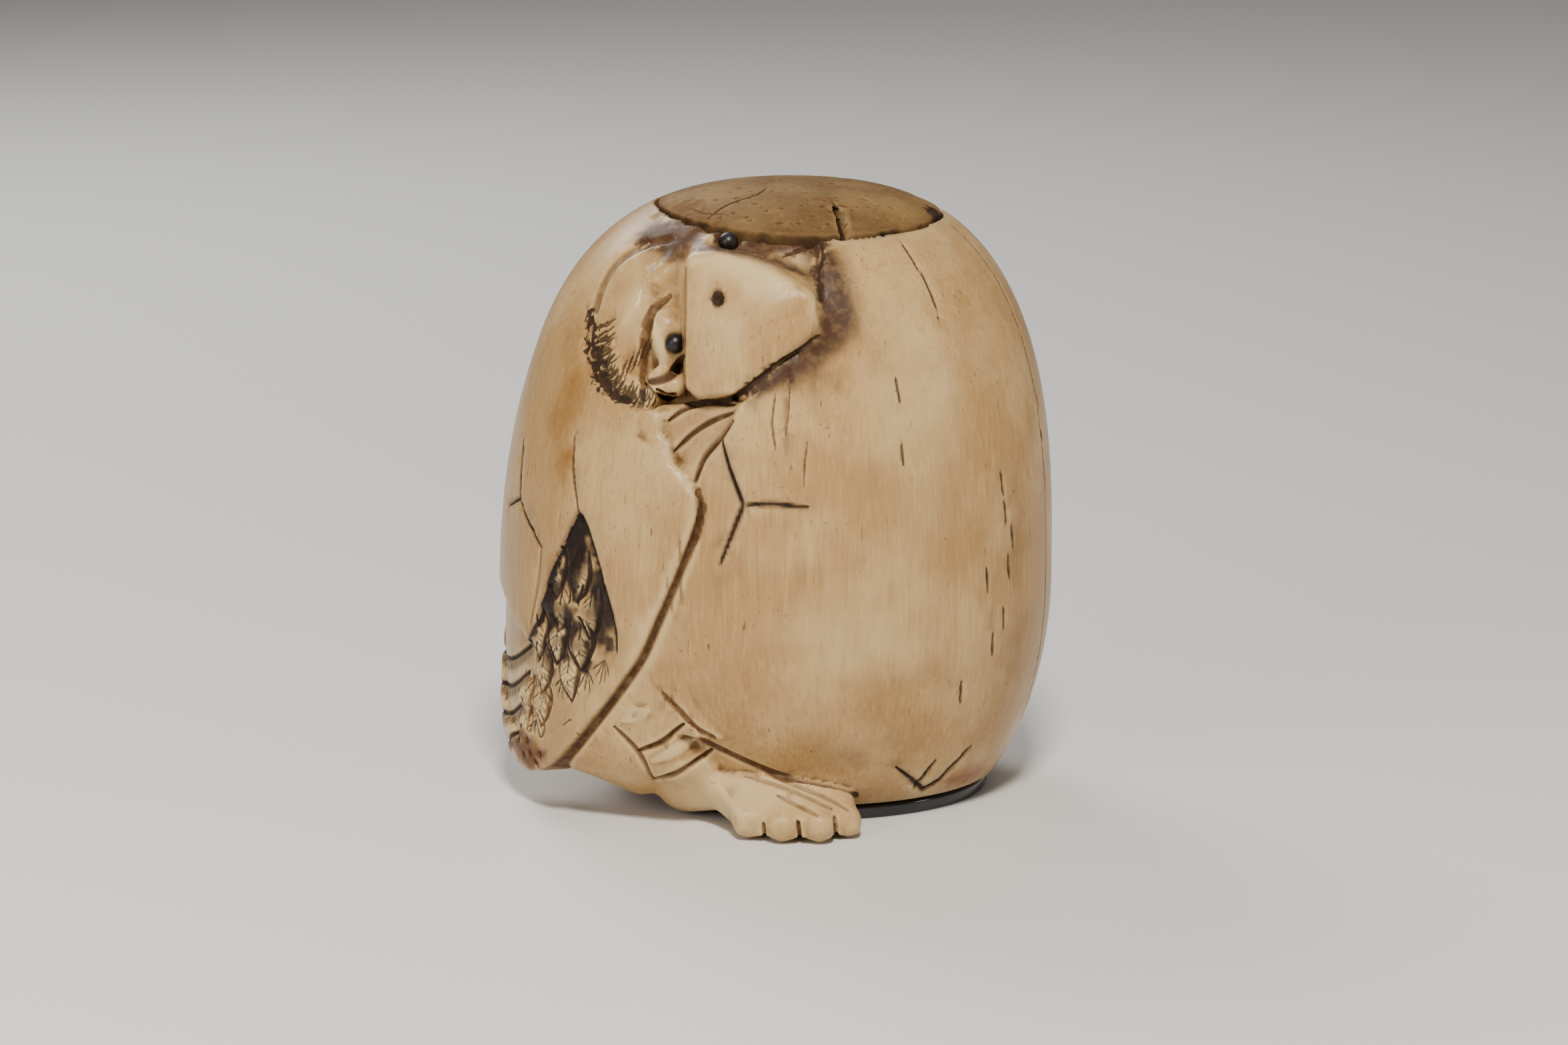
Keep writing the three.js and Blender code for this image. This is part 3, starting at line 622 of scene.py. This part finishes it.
def markFoot(m):
    low = m.points[:, 2] < 4.6
    foot = low & (m.eggGap > 0.35) & (m.points[:, 1] < -7)
    toes = low & (m.points[:, 1] < -12)
    for u, top, depth in ((-1.17, -1.9, 0.3), (0.96, -1.7, 0.45), (3.2, -1.5, 0.5)):
        m.line("face", [(u - 0.05, -3.9), (u, -3), (u - 0.1, top)], (0.22, 0.14), 0.6 * depth,
               where=toes, taper=False, soft=True, soil=1, ink=0.2)
    for path in ([(-3.5, 1.9), (-0.5, 0.85), (2.6, -0.4), (3.9, -1.1)], [(-0.4, -0.2), (2, -1.35)],
                 [(-2.9, 1.1), (0.3, 0.15), (2.9, -1)]):
        m.line("face", path, 0.22, 0.08, where=foot, soft=True, soil=0.55)
    # painted highlight along the instep's ridge
    m.line("face", [(-4.7, 0.9), (-3.6, -0.3), (-2.4, -1.6)], 0.35, -0.1, where=foot, soft=True, pale=0.95)
    m.line("egg", [(-22, 5.8), (-10, 4.1), (-1.7, 3.2), (7.4, 2.6), (14, 1.9)], 0.3, 0.12,
           where=m.eggGap < 0.5, taper=False, soil=0.95, ink=0.25)
    m.patch("plan", (-1.5, -11.5), (8, 5), 0.1, 80, where=foot, pale=0.75)
    for x, y in ((-5.6, -9.6), (-4.4, -11.2), (-1.8, -14.1), (2.4, -13), (-3.2, -12.9), (0.4, -13.6)):
        m.patch("plan", (x, y), (0.3, 0.25), 0.6, 81, where=foot, soil=0.75)
    # cuffs and the hem of the trouser, where the leg comes out of the shell
    cuff = m.eggGap > -0.2
    leg = (m.points[:, 2] < 8) & (m.points[:, 1] < -7)
    m.line("face", [(-8.9, 2.4), (-7.4, 3), (-6.1, 4.1)], 0.26, 0.26, where=leg, soft=True, soil=1)
    m.line("face", [(-7.9, 0.6), (-6.2, 1.2), (-4.4, 2.5)], 0.26, 0.26, where=leg, soft=True, soil=1)
    m.line("face", [(-10.3, 3.9), (-8.9, 2.4), (-8, 0.6)], 0.2, 0.16, where=leg, soil=0.85)
    # painted highlights on the cuffs' raised bands
    m.line("face", [(-7.9, 1.9), (-6.6, 2.5), (-5.3, 3.5)], 0.5, -0.14, where=leg, soft=True, pale=0.8)
    m.line("face", [(-9.6, 4.4), (-8.3, 5)], 0.6, -0.12, where=leg, soft=True, pale=0.7)
    m.line("egg", [(-33.5, 11), (-27.9, 9.2), (-24.8, 8.1), (-21.7, 6.9), (-18.5, 6.2)], 0.24, 0.12,
           where=m.eggGap < 0.6, taper=False, soil=0.95, ink=0.1)
    for turn, z in [(-41, 7.6), (-36, 8.4), (-44, 6.9)]:
        m.line("egg", [(turn, z), (turn + 2.6, z - 2.2)], 0.12, 0.08, where=cuff, soil=0.5)
    # painted highlight on the cuff
    m.line("egg", [(-33, 6.6), (-30.5, 5.1)], 0.4, soft=True, where=cuff, pale=0.8)
    for turn, z in [(-33, 5.4), (-36, 7), (-28.8, 5.6), (-40, 5.9)]:
        m.patch("egg", (turn, z), (1.6, 0.3), 0.6, 82, where=cuff, soil=0.7)


plugSeat = {"centre": 0.95, "rim": 8.9, "joint": 8.83, "foot": 33}  # place in x, radii, height


def markSeat(m):
    # the joint round the plug, black at the front and right
    x, y, z = m.points.T
    gap = np.abs(np.hypot(x - plugSeat["centre"], y) - plugSeat["joint"])
    turn = np.arctan2(x - plugSeat["centre"], -y)
    worn = 0.72 + 0.28 * np.cos(turn - 0.3)
    wobble = 0.06 * cloud(m.points, 0.6, 90)
    top = z > plugSeat["foot"]
    m.deepen("ink", np.clip(1.4 - (gap + wobble) / 0.1, 0, 1) * top * worn)
    m.deepen("soil", 0.6 * np.clip(1 - (gap + 2 * wobble) / 0.75, 0, 1) * top)


def markPlug(m):
    markSeat(m)
    m.line("egg", [(23.6, 37.5), (21.6, 37), (19.6, 36), (19.2, 35.2)], 0.3, 0.15, taper=False, ink=1)
    thin = [(-4.6, -6.3), (-3.4, -5.1), (-1.7, -4), (-1.05, -2.5)]
    m.line("plan", thin, 0.12, 0.08, ink=0.8, soil=0.9)
    m.line("plan", [(-6, -4), (-4.8, -5.6), (-3.4, -6.4)], 0.12, 0.05, soil=0.8)
    m.line("plan", [(2.1, -1.2), (2.6, -2.6)], 0.1, 0.05, soil=0.8)
    m.patch("plan", (9.3, -2), (0.9, 1.8), 0.4, 91, ink=0.8, soil=1)
    m.patch("plan", (-6.2, -4.2), (1.5, 2.2), 0.5, 92, soil=0.55)
    m.patch("plan", (2.3, -4.9), (1.4, 0.6), 0.6, 93, soil=0.5)
    draw = np.random.default_rng(21)
    for _ in range(260):
        r, t = 8.2 * math.sqrt(draw.uniform(0, 1)), draw.uniform(0, 2 * math.pi)
        size = draw.uniform(0.07, 0.2)
        spot = (plugSeat["centre"] + r * math.cos(t), r * math.sin(t))
        m.line("plan", [spot, (spot[0] + draw.uniform(0.05, 0.4), spot[1])], size, 0.07,
               soil=draw.uniform(0.3, 0.9))


def markCarving(m):
    for marks in (markStains, markGrain, markCracks, markWing, markFeathers, markFoot, markNeck,
                  markHead, markSeat):
        marks(m)
    # darker towards the foot of the shell
    low = np.clip((2.2 - m.points[:, 2]) / 1.4, 0, 1) * (m.eggGap < 0.3)
    m.deepen("soil", 0.7 * low)


# Meshes of bone: remeshed from the solids, smoothed, cut and thinned out.
def read(mesh, name, width, source="vertices"):
    values = np.empty(len(getattr(mesh, source)) * width, np.float64)
    getattr(mesh, source).foreach_get(name, values)
    return values.reshape(-1, width)


def softened(values, edges, rounds, share=0.5):
    a, b = edges.T
    count = len(values)
    near = np.bincount(edges.ravel(), minlength=count)[:, None]
    for _ in range(rounds):
        total = np.stack([np.bincount(a, v[b], count) + np.bincount(b, v[a], count)
                          for v in values.T], axis=1)
        values = values + share * (total / near - values)
    return values


def edgesOf(block):
    return read(block.data, "vertices", 2, "edges").astype(int)


def reshaped(block, points):
    # moves the vertices and gives their new normals
    block.data.vertices.foreach_set("co", points.ravel())
    block.data.update()
    return read(block.data, "normal", 3)


def hollows(points, normals, edges, rounds):
    # how far each place lies below its neighbourhood, wider with more rounds
    return np.sum(normals * (softened(points, edges, rounds) - points), axis=1)


def keepLayers(mesh, marks, normals, points, edges, rounds):
    # the marks' layers, with a fine and a broad measure of hollows, become values on the mesh
    near, wide = (hollows(points, normals, edges, r) for r in rounds)
    layers = dict(marks.layers)
    layers["crevice"] = np.clip(near / 0.05, -1, 1)
    layers["hollow"] = np.clip(wide / 0.25, -1, 1)
    for name, values in layers.items():
        layer = mesh.attributes.new(name, "FLOAT", "POINT")
        layer.data.foreach_set("value", np.asarray(values, np.float32))
    return layers


def smoothShaded(thing):
    thing.data.polygons.foreach_set("use_smooth", np.ones(len(thing.data.polygons), bool))
    return thing


def triangleCount(thing):
    return sum(len(p.vertices) - 2 for p in thing.data.polygons)


def modified(thing, kind, **settings):
    modifier = thing.modifiers.new(kind.lower(), kind)
    for key, value in settings.items():
        setattr(modifier, key, value)
    graph = bpy.context.evaluated_depsgraph_get()
    mesh = bpy.data.meshes.new_from_object(thing.evaluated_get(graph))
    thing.modifiers.clear()
    old, thing.data = thing.data, mesh
    bpy.data.meshes.remove(old)


def boneBlock(name, source, spacing):
    # a fresh copy of a solid, merged and remeshed evenly, in millimetres
    bm = bmesh.new()
    bm.from_mesh(source.data)
    bmesh.ops.remove_doubles(bm, verts=bm.verts, dist=1e-7)
    bmesh.ops.transform(bm, matrix=Matrix.Scale(1 / mm, 4), verts=bm.verts)
    block = addObject(name, bm)
    modified(block, "REMESH", mode="VOXEL", voxel_size=spacing, use_smooth_shade=True)
    return block


def facesWithin(block, region):
    # the faces that have all their corners in a region
    corners = read(block.data, "vertex_index", 1, "loops")[:, 0].astype(int)
    starts = read(block.data, "loop_start", 1, "polygons")[:, 0].astype(int)
    return np.flatnonzero(np.logical_and.reduceat(region[corners], starts))


def refine(block, chosen):
    # cuts each chosen face in four
    bm = bmesh.new()
    bm.from_mesh(block.data)
    bm.faces.ensure_lookup_table()
    edges = dict.fromkeys(e for i in chosen for e in bm.faces[i].edges)
    bmesh.ops.subdivide_edges(bm, edges=list(edges), cuts=1, use_grid_fill=True)
    bmesh.ops.triangulate(bm, faces=[f for f in bm.faces if len(f.verts) > 4])
    bm.to_mesh(block.data)
    bm.free()


def thinOut(block, fine, triangles):
    # fewer faces on plain skin, most of them kept where fine is high
    steps = 8
    group = block.vertex_groups.new(name="plain")
    levels = np.round(np.clip(1 - fine, 0, 1) * steps).astype(int)
    for level in range(1, steps + 1):
        group.add(np.flatnonzero(levels == level).tolist(), level / steps, "REPLACE")
    now = triangleCount(block)
    if now > triangles:
        modified(block, "DECIMATE", ratio=triangles / now, vertex_group="plain", vertex_group_factor=8)
    block.vertex_groups.clear()


def finishBlock(block, low, high):
    # back to metres, inside the solid's box
    reshaped(block, np.clip(read(block.data, "co", 3) * mm, np.array(low), np.array(high)))
    print(block.name, "has", triangleCount(block), "triangles")
    return smoothShaded(block)


carvingWork = {
    "spacing": 0.17, "triangles": 190000,
    "snap": 0.22,  # skin this near to a shell's true curve goes onto it
    "seam": 0.12,  # softness of the line where the wing's shell leaves the egg
    "gaps": [  # filled round the head: path, reach, level outside the egg's skin
        ([(-11.3, 29), (-11.2, 26.8), (-10.7, 25.3), (-9.9, 24.4), (-8.7, 23.9)], 1.7, -0.15),
        ([(-1.9, 24.6), (-0.6, 25.4), (1.2, 26.7), (2.3, 27.7)], 1.6, -0.05),
        ([(-8.2, 32.5), (-6.4, 33.6)], 2.4, -0.25),
    ],
    "step": 0.32, "slope": 0.6, "slopeTop": 18.5,  # beside the wing: groove, fall and highest place
    "toeTips": [(-2.3, -14.85), (-0.1, -15.7), (2.15, -15.75), (3.95, -14.45)],
    "web": 0.45,  # how far the skin between two toes stays behind their tips
    "rounds": {"gaps": 40, "head": 14, "foot": 34, "leaves": 8, "slope": 36},  # of smoothing
    "worn": 3, "hollowRounds": (22, 110),
}


def ontoShells(points, normals, work):
    # skin that lies nearly on the egg or on the wing's shell goes onto the true curve
    for form in (egg, wingShell):
        for _ in range(2):
            gap, out = shellGap(form, points)
            agree = np.clip((np.sum(normals * out, axis=1) - 0.975) / 0.015, 0, 1)
            share = agree * np.clip(2 - 2 * np.abs(gap) / work["snap"], 0, 1)
            if form is wingShell:
                share = share * np.clip(shellGap(egg, points)[0] / 0.05, 0, 1)
            points = points - out * (gap * share)[:, None]
    return points


def joinShells(points, work):
    # at its top and side the wing's shell runs softly into the egg
    x, y, z = points.T
    turn = turnRound(x, y)
    seam = np.clip((z - 22) / 2, 0, 1) * (turn < -33) * np.clip((turn + 150) / 14, 0, 1)
    soft = work["seam"]
    for _ in range(3):
        (a, outA), (b, outB) = shellGap(egg, points), shellGap(wingShell, points)
        near = seam * (np.abs(np.minimum(a, b)) < 0.5)
        first = 1 / (1 + np.exp(np.clip((a - b) / soft, -30, 30)))
        joint = -soft * np.logaddexp(-a / soft, -b / soft)
        out = first[:, None] * outA + (1 - first)[:, None] * outB
        points = points - out * (joint * near)[:, None]
    return points


def raised(points, form, target, along):
    # moves points along a line until each lies at its own distance from a shell
    start = shellGap(form, points)[0]
    moved = target > start + 1e-4
    for _ in range(5):
        gap, out = shellGap(form, points)
        pace = np.clip(np.sum(out * along, axis=1), 0.4, 1)
        points = points + along * (moved * (target - gap) / pace)[:, None]
    return points


def fillHead(points, m, work):
    # the skin of the brow comes up to the plug, and no deep gap stays round the head
    x, y = m.points.T[:2]
    gap, face = m.eggGap, m.charts["face"][0]
    front = (y < 1) & (gap > -9)
    toPlug = np.hypot(x - plugSeat["centre"], y) - plugSeat["rim"]
    brow = front & (toPlug > 0) & within(x, -8.5, 2) & (gap > -1.6)
    target = np.where(brow, np.interp(toPlug, (0, 0.6, 1.6), (-0.1, -0.3, -9)), gap)
    for path, reach, level in work["gaps"]:
        share = front * np.clip(2 - 2 * nearest(face, np.array(path))[0] / reach, 0, 1)
        target = np.maximum(target, gap + share * np.clip(level - gap, 0, None))
    return raised(points, egg, target, ahead)


def slopeToWing(points, m, work):
    # the leg and the shell slope up to the wing's edge, leaving a narrow groove
    gap, away = shellGap(wingShell, points)
    y, z = m.points.T[1:]
    level = -work["step"] - work["slope"] * np.clip(fromWingEdge(m) - 0.1, 0, None)
    share = np.clip((z - 2.2) / 1.5, 0, 1) * np.clip((work["slopeTop"] - z) / 1.5, 0, 1)
    share = share * (y < 0) * (gap > -4.5)
    flatAway = away * (1, 1, 0.25)
    flatAway /= np.linalg.norm(flatAway, axis=1)[:, None]
    return raised(points, wingShell, gap + share * np.clip(level - gap, 0, 3.5), flatAway)


def webToes(points, work):
    # skin joins the toes a little behind their tips
    x, y, z = points.T
    tips = np.interp(x, *zip(*work["toeTips"]))
    web = np.clip((z - 0.15) / 0.3, 0, 1) * np.clip((2.1 - z) / 0.5, 0, 1)
    web = web * (y < tips + 2.6) * within(x, -2.4, 4.1)
    return np.c_[x, y - web * np.clip(y - tips - work["web"], 0, 2.2), z]


def roundForms(points, normals, edges, work):
    # the carved forms are rounded, each by its own rounds of smoothing, and every edge is worn
    m = Marks(points, normals)
    y, z = points.T[1:]
    face, front, _ = m.chartOf("face")
    u, v = face.T
    beak = front & within(u, -12.5, 2.6) & (v > 23.6 - 0.2 * u * (u < 0)) & (v < 34.2)
    collar = front & (np.hypot((u + 4.6) / 3.4, (v - 21) / 3.2) < 1)
    regions = {
        "gaps": front & np.any([nearest(face, np.array(path))[0] < 0.9 for path, *_ in work["gaps"]],
                               axis=0),
        "head": beak | collar,
        "foot": (z < 11) & (m.eggGap > 0.15) & (m.wingGap < -0.1) & (m.wingTurn > -60),
        "leaves": m.inside("wing", leafField),
        "slope": (fromWingEdge(m) < 3) & (m.wingGap < -0.25) & (z < work["slopeTop"]) & (y < 0),
    }
    for name, rounds in work["rounds"].items():
        share = softened(regions[name][:, None].astype(float), edges, 6)
        points = points + share * (softened(points, edges, rounds) - points)
    return softened(points, edges, work["worn"], 0.4)


def fineRegion(m):
    # where the carving is fine: head and collar, wing and feathers, foot
    u, v = m.charts["face"][0].T
    y, z = m.points.T[1:]
    head = m.charts["face"][1] & within(u, -12.6, 3) & within(v, 17.6, 35.5) & (m.eggGap < 1.8)
    wing = within(m.wingTurn, -112, -32) & within(z, 1.5, 20.5) & (m.wingGap > -1) & (m.eggGap > -0.5)
    foot = (z < 8) & (y < -6) & within(m.turn, -55, 30) & (m.eggGap > -0.1)
    return head | wing | foot


def carveBone(work):
    block = boneBlock("carved_egg", nodes["egg_carving"], work["spacing"])
    print("remeshed to", len(block.data.vertices))
    edges, normals = edgesOf(block), read(block.data, "normal", 3)
    points = ontoShells(read(block.data, "co", 3), normals, work)
    points = joinShells(points, work)
    m = Marks(points, normals)
    points = fillHead(points, m, work)
    points = slopeToWing(points, m, work)
    points = webToes(points, work)
    points = roundForms(points, normals, edges, work)
    m = Marks(points, reshaped(block, points))
    refine(block, facesWithin(block, fineRegion(m)))
    print("refined to", len(block.data.vertices))
    edges, normals = edgesOf(block), read(block.data, "normal", 3)
    points = read(block.data, "co", 3)
    m = Marks(points, normals)
    markCarving(m)
    points = points - normals * m.depth[:, None]
    normals = reshaped(block, points)
    layers = keepLayers(block.data, m, normals, points, edges, work["hollowRounds"])
    busy = np.clip(4 * m.depth / 0.1 + m.layers["ink"] + 0.6 * np.abs(layers["crevice"]), 0, 1)
    thinOut(block, softened(busy[:, None], edges, 4)[:, 0] * 1.5, work["triangles"])
    return finishBlock(block, *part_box("egg_carving"))


plugWork = {"spacing": 0.12, "snap": 0.25, "worn": 3, "rough": 0.05, "triangles": 60000,
            "hollowRounds": (8, 60)}


def carvePlug(work):
    block = boneBlock("worn_plug", nodes["crown_plug"], work["spacing"])
    edges, normals = edgesOf(block), read(block.data, "normal", 3)
    points = read(block.data, "co", 3)
    gap, out = shellGap(egg, points)
    agree = np.clip((np.sum(normals * out, axis=1) - 0.97) / 0.02, 0, 1)
    share = agree * (np.abs(gap) < work["snap"])
    points = softened(points - out * (gap * share)[:, None], edges, work["worn"], 0.4)
    normals = reshaped(block, points)
    m = Marks(points, normals)
    markPlug(m)
    grain = np.clip(cloud(points * (0.5, 1, 1), 0.35, 95), -0.2, 1) + 0.6 * cloud(points, 0.9, 96)
    points = points - normals * (m.depth + work["rough"] * np.clip(grain, 0, 1))[:, None]
    normals = reshaped(block, points)
    keepLayers(block.data, m, normals, points, edges, work["hollowRounds"])
    thinOut(block, np.clip(normals[:, 2], 0, 1), work["triangles"])
    return finishBlock(block, *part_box("crown_plug"))


# Disc and pupils.
discShape = {"sides": 160, "edge": 0.22, "segments": 4}
pupilShape = {"turns": 32, "rings": 20}


def turnDisc(s):
    low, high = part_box("base_disc")
    half = (high - low) / 2
    bm = bmesh.new()
    bmesh.ops.create_cone(bm, cap_ends=True, segments=s["sides"], radius1=half.x, radius2=half.x,
                          depth=2 * half.z)
    rims = [e for e in bm.edges if abs(e.verts[0].co.z - e.verts[1].co.z) < 1e-9]
    bmesh.ops.bevel(bm, geom=rims, affect="EDGES", offset=s["edge"] * mm, segments=s["segments"],
                    profile=0.5, material=-1)
    bmesh.ops.scale(bm, vec=(1, half.y / half.x, 1), verts=bm.verts)
    bmesh.ops.translate(bm, vec=(low + high) / 2, verts=bm.verts)
    return smoothShaded(addObject("horn_disc", bm))


def turnPupil(node, s):
    low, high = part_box(node)
    bm = bmesh.new()
    bmesh.ops.create_uvsphere(bm, u_segments=s["turns"], v_segments=s["rings"],
                              radius=max(high - low) / 2)
    bmesh.ops.translate(bm, vec=(low + high) / 2, verts=bm.verts)
    return smoothShaded(addObject("polished_" + node, bm))


# Finishes.
# the dark colours also paint shade, and cream paints highlights
boneLook = {
    "base": (0.42, 0.25, 0.094), "light": (0.53, 0.345, 0.15), "cream": (0.68, 0.5, 0.25),
    "tan": (0.27, 0.13, 0.038), "soil": (0.085, 0.033, 0.01), "ink": (0.014, 0.008, 0.006),
    "smoke": (0.05, 0.028, 0.018), "amber": (0.24, 0.09, 0.012), "rust": (0.2, 0.03, 0.003),
    "roughness": 0.3, "porous": 0.0,
}
plugLook = {
    **boneLook, "base": (0.12, 0.066, 0.02), "light": (0.22, 0.135, 0.047),
    "cream": (0.36, 0.23, 0.09), "roughness": 0.5, "porous": 1.0,
}
discLook = {"colour": (0.006, 0.006, 0.008), "roughness": 0.12, "coat": 0.3}
pupilLook = {"colour": (0.007, 0.004, 0.003), "roughness": 0.34, "coat": 0.0}


def paintBone(name, look):
    porous = look["porous"]
    p = Paint(name, roughness=look["roughness"], subsurface_weight=0.12, subsurface_scale=0.0008,
              specular_ior_level=0.18)
    p.shader.inputs["Subsurface Radius"].default_value = (1, 0.55, 0.3)
    crevice, hollow = p.layer("crevice"), p.layer("hollow")
    drift = p.noise(160, 3, 0.55)
    grain = p.noise(1, 4, 0.6, 0.4, (1500, 1500, 130))
    fibre = p.noise(1, 3, 0.6, 0.2, (5200, 5200, 420))
    specks = p.noise(1, 2, 0.5, 0, (4600, 4600, 2600))
    dashes = p.noise(1, 1, 0.5, 0, (3900, 3900, 700))
    body = p.flat(look["base"]).tint(look["light"], drift.between(0.42, 0.68))
    body = body.tint(look["tan"], grain.between(0.52, 0.78, 0, 0.42))
    body = body.tint(look["cream"], fibre.between(0.5, 0.75, 0, 0.28))
    body = body.tint(look["tan"], fibre.between(0.5, 0.28, 0, 0.22 + 0.2 * porous))
    patchy = p.noise(260, 2).between(0.42, 0.6)
    body = body.tint(look["soil"], specks.between(0.66, 0.74, 0, 0.55 + 0.3 * porous) * patchy)
    body = body.tint(look["soil"], dashes.between(0.7, 0.78, 0, 0.6) * patchy)
    body = body.tint(look["cream"], p.layer("pale"))
    # convex edges lighter: wear, and a painted highlight
    body = body.tint(look["cream"], crevice.between(-0.1, -0.8, 0, 0.45))
    mottle = p.noise(1500, 3, 0.6).between(0.3, 0.6, 0.72, 1)
    body = body.tint(look["amber"], p.layer("amber") * mottle)
    body = body.tint(look["rust"], p.layer("rust"))
    body = body.tint(look["smoke"], p.layer("smoke").between(0, 0.8) * mottle)
    # the stain layer, plus painted shade darkening crevices and hollows, with grime in them
    dirt = (p.layer("soil") * mottle).most(crevice.between(0.15, 0.9, 0, 0.75)).most(
        hollow.between(0.12, 0.8, 0, 0.55) * mottle)
    body = body.tint(look["soil"], dirt)
    body = body.tint(look["ink"], p.layer("ink") * mottle.between(0.5, 0.8, 0.75, 1))
    p.feed("Base Color", body)
    dull = dirt * 0.3 + fibre * 0.1 + p.layer("ink") * 0.2 + (look["roughness"] - 0.06 + 0.2 * porous)
    p.feed("Roughness", dull)
    p.bump(fibre * 0.5 + grain * 0.7 - specks.between(0.62, 0.74) * (0.6 + porous), 0.22, 0.00006)
    return p.material


def paintHorn(name, look):
    colour, roughness = look["colour"], look["roughness"]
    p = Paint(name, roughness=roughness, coat_weight=look["coat"])
    haze = p.noise(900, 3)
    p.feed("Base Color", p.flat(colour).tint([4 * c for c in colour], haze.between(0.5, 0.8, 0, 0.5)))
    p.feed("Roughness", haze.between(0.35, 0.75, roughness, roughness + 0.16))
    p.bump(p.noise(3500, 2), 0.05, 0.00003)
    return p.material


def place(piece, paint, slot, *replaced):
    piece.data.materials.clear()
    piece.data.materials.append(paint)
    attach(piece, "root")
    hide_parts(*replaced)
    print(piece.name, "placed")


buildStudio(studio)
place(carveBone(carvingWork), paintBone("old bone", boneLook), "bone", "egg_carving")
place(carvePlug(plugWork), paintBone("porous bone", plugLook), "plug_bone", "crown_plug")
place(turnDisc(discShape), paintHorn("black horn", discLook), "black_horn", "base_disc")
pupilPaint = paintHorn("pupil horn", pupilLook)
for node in ("near_pupil", "far_pupil"):
    place(turnPupil(node, pupilShape), pupilPaint, "pupil_horn", node)

bpy.context.view_layer.update()
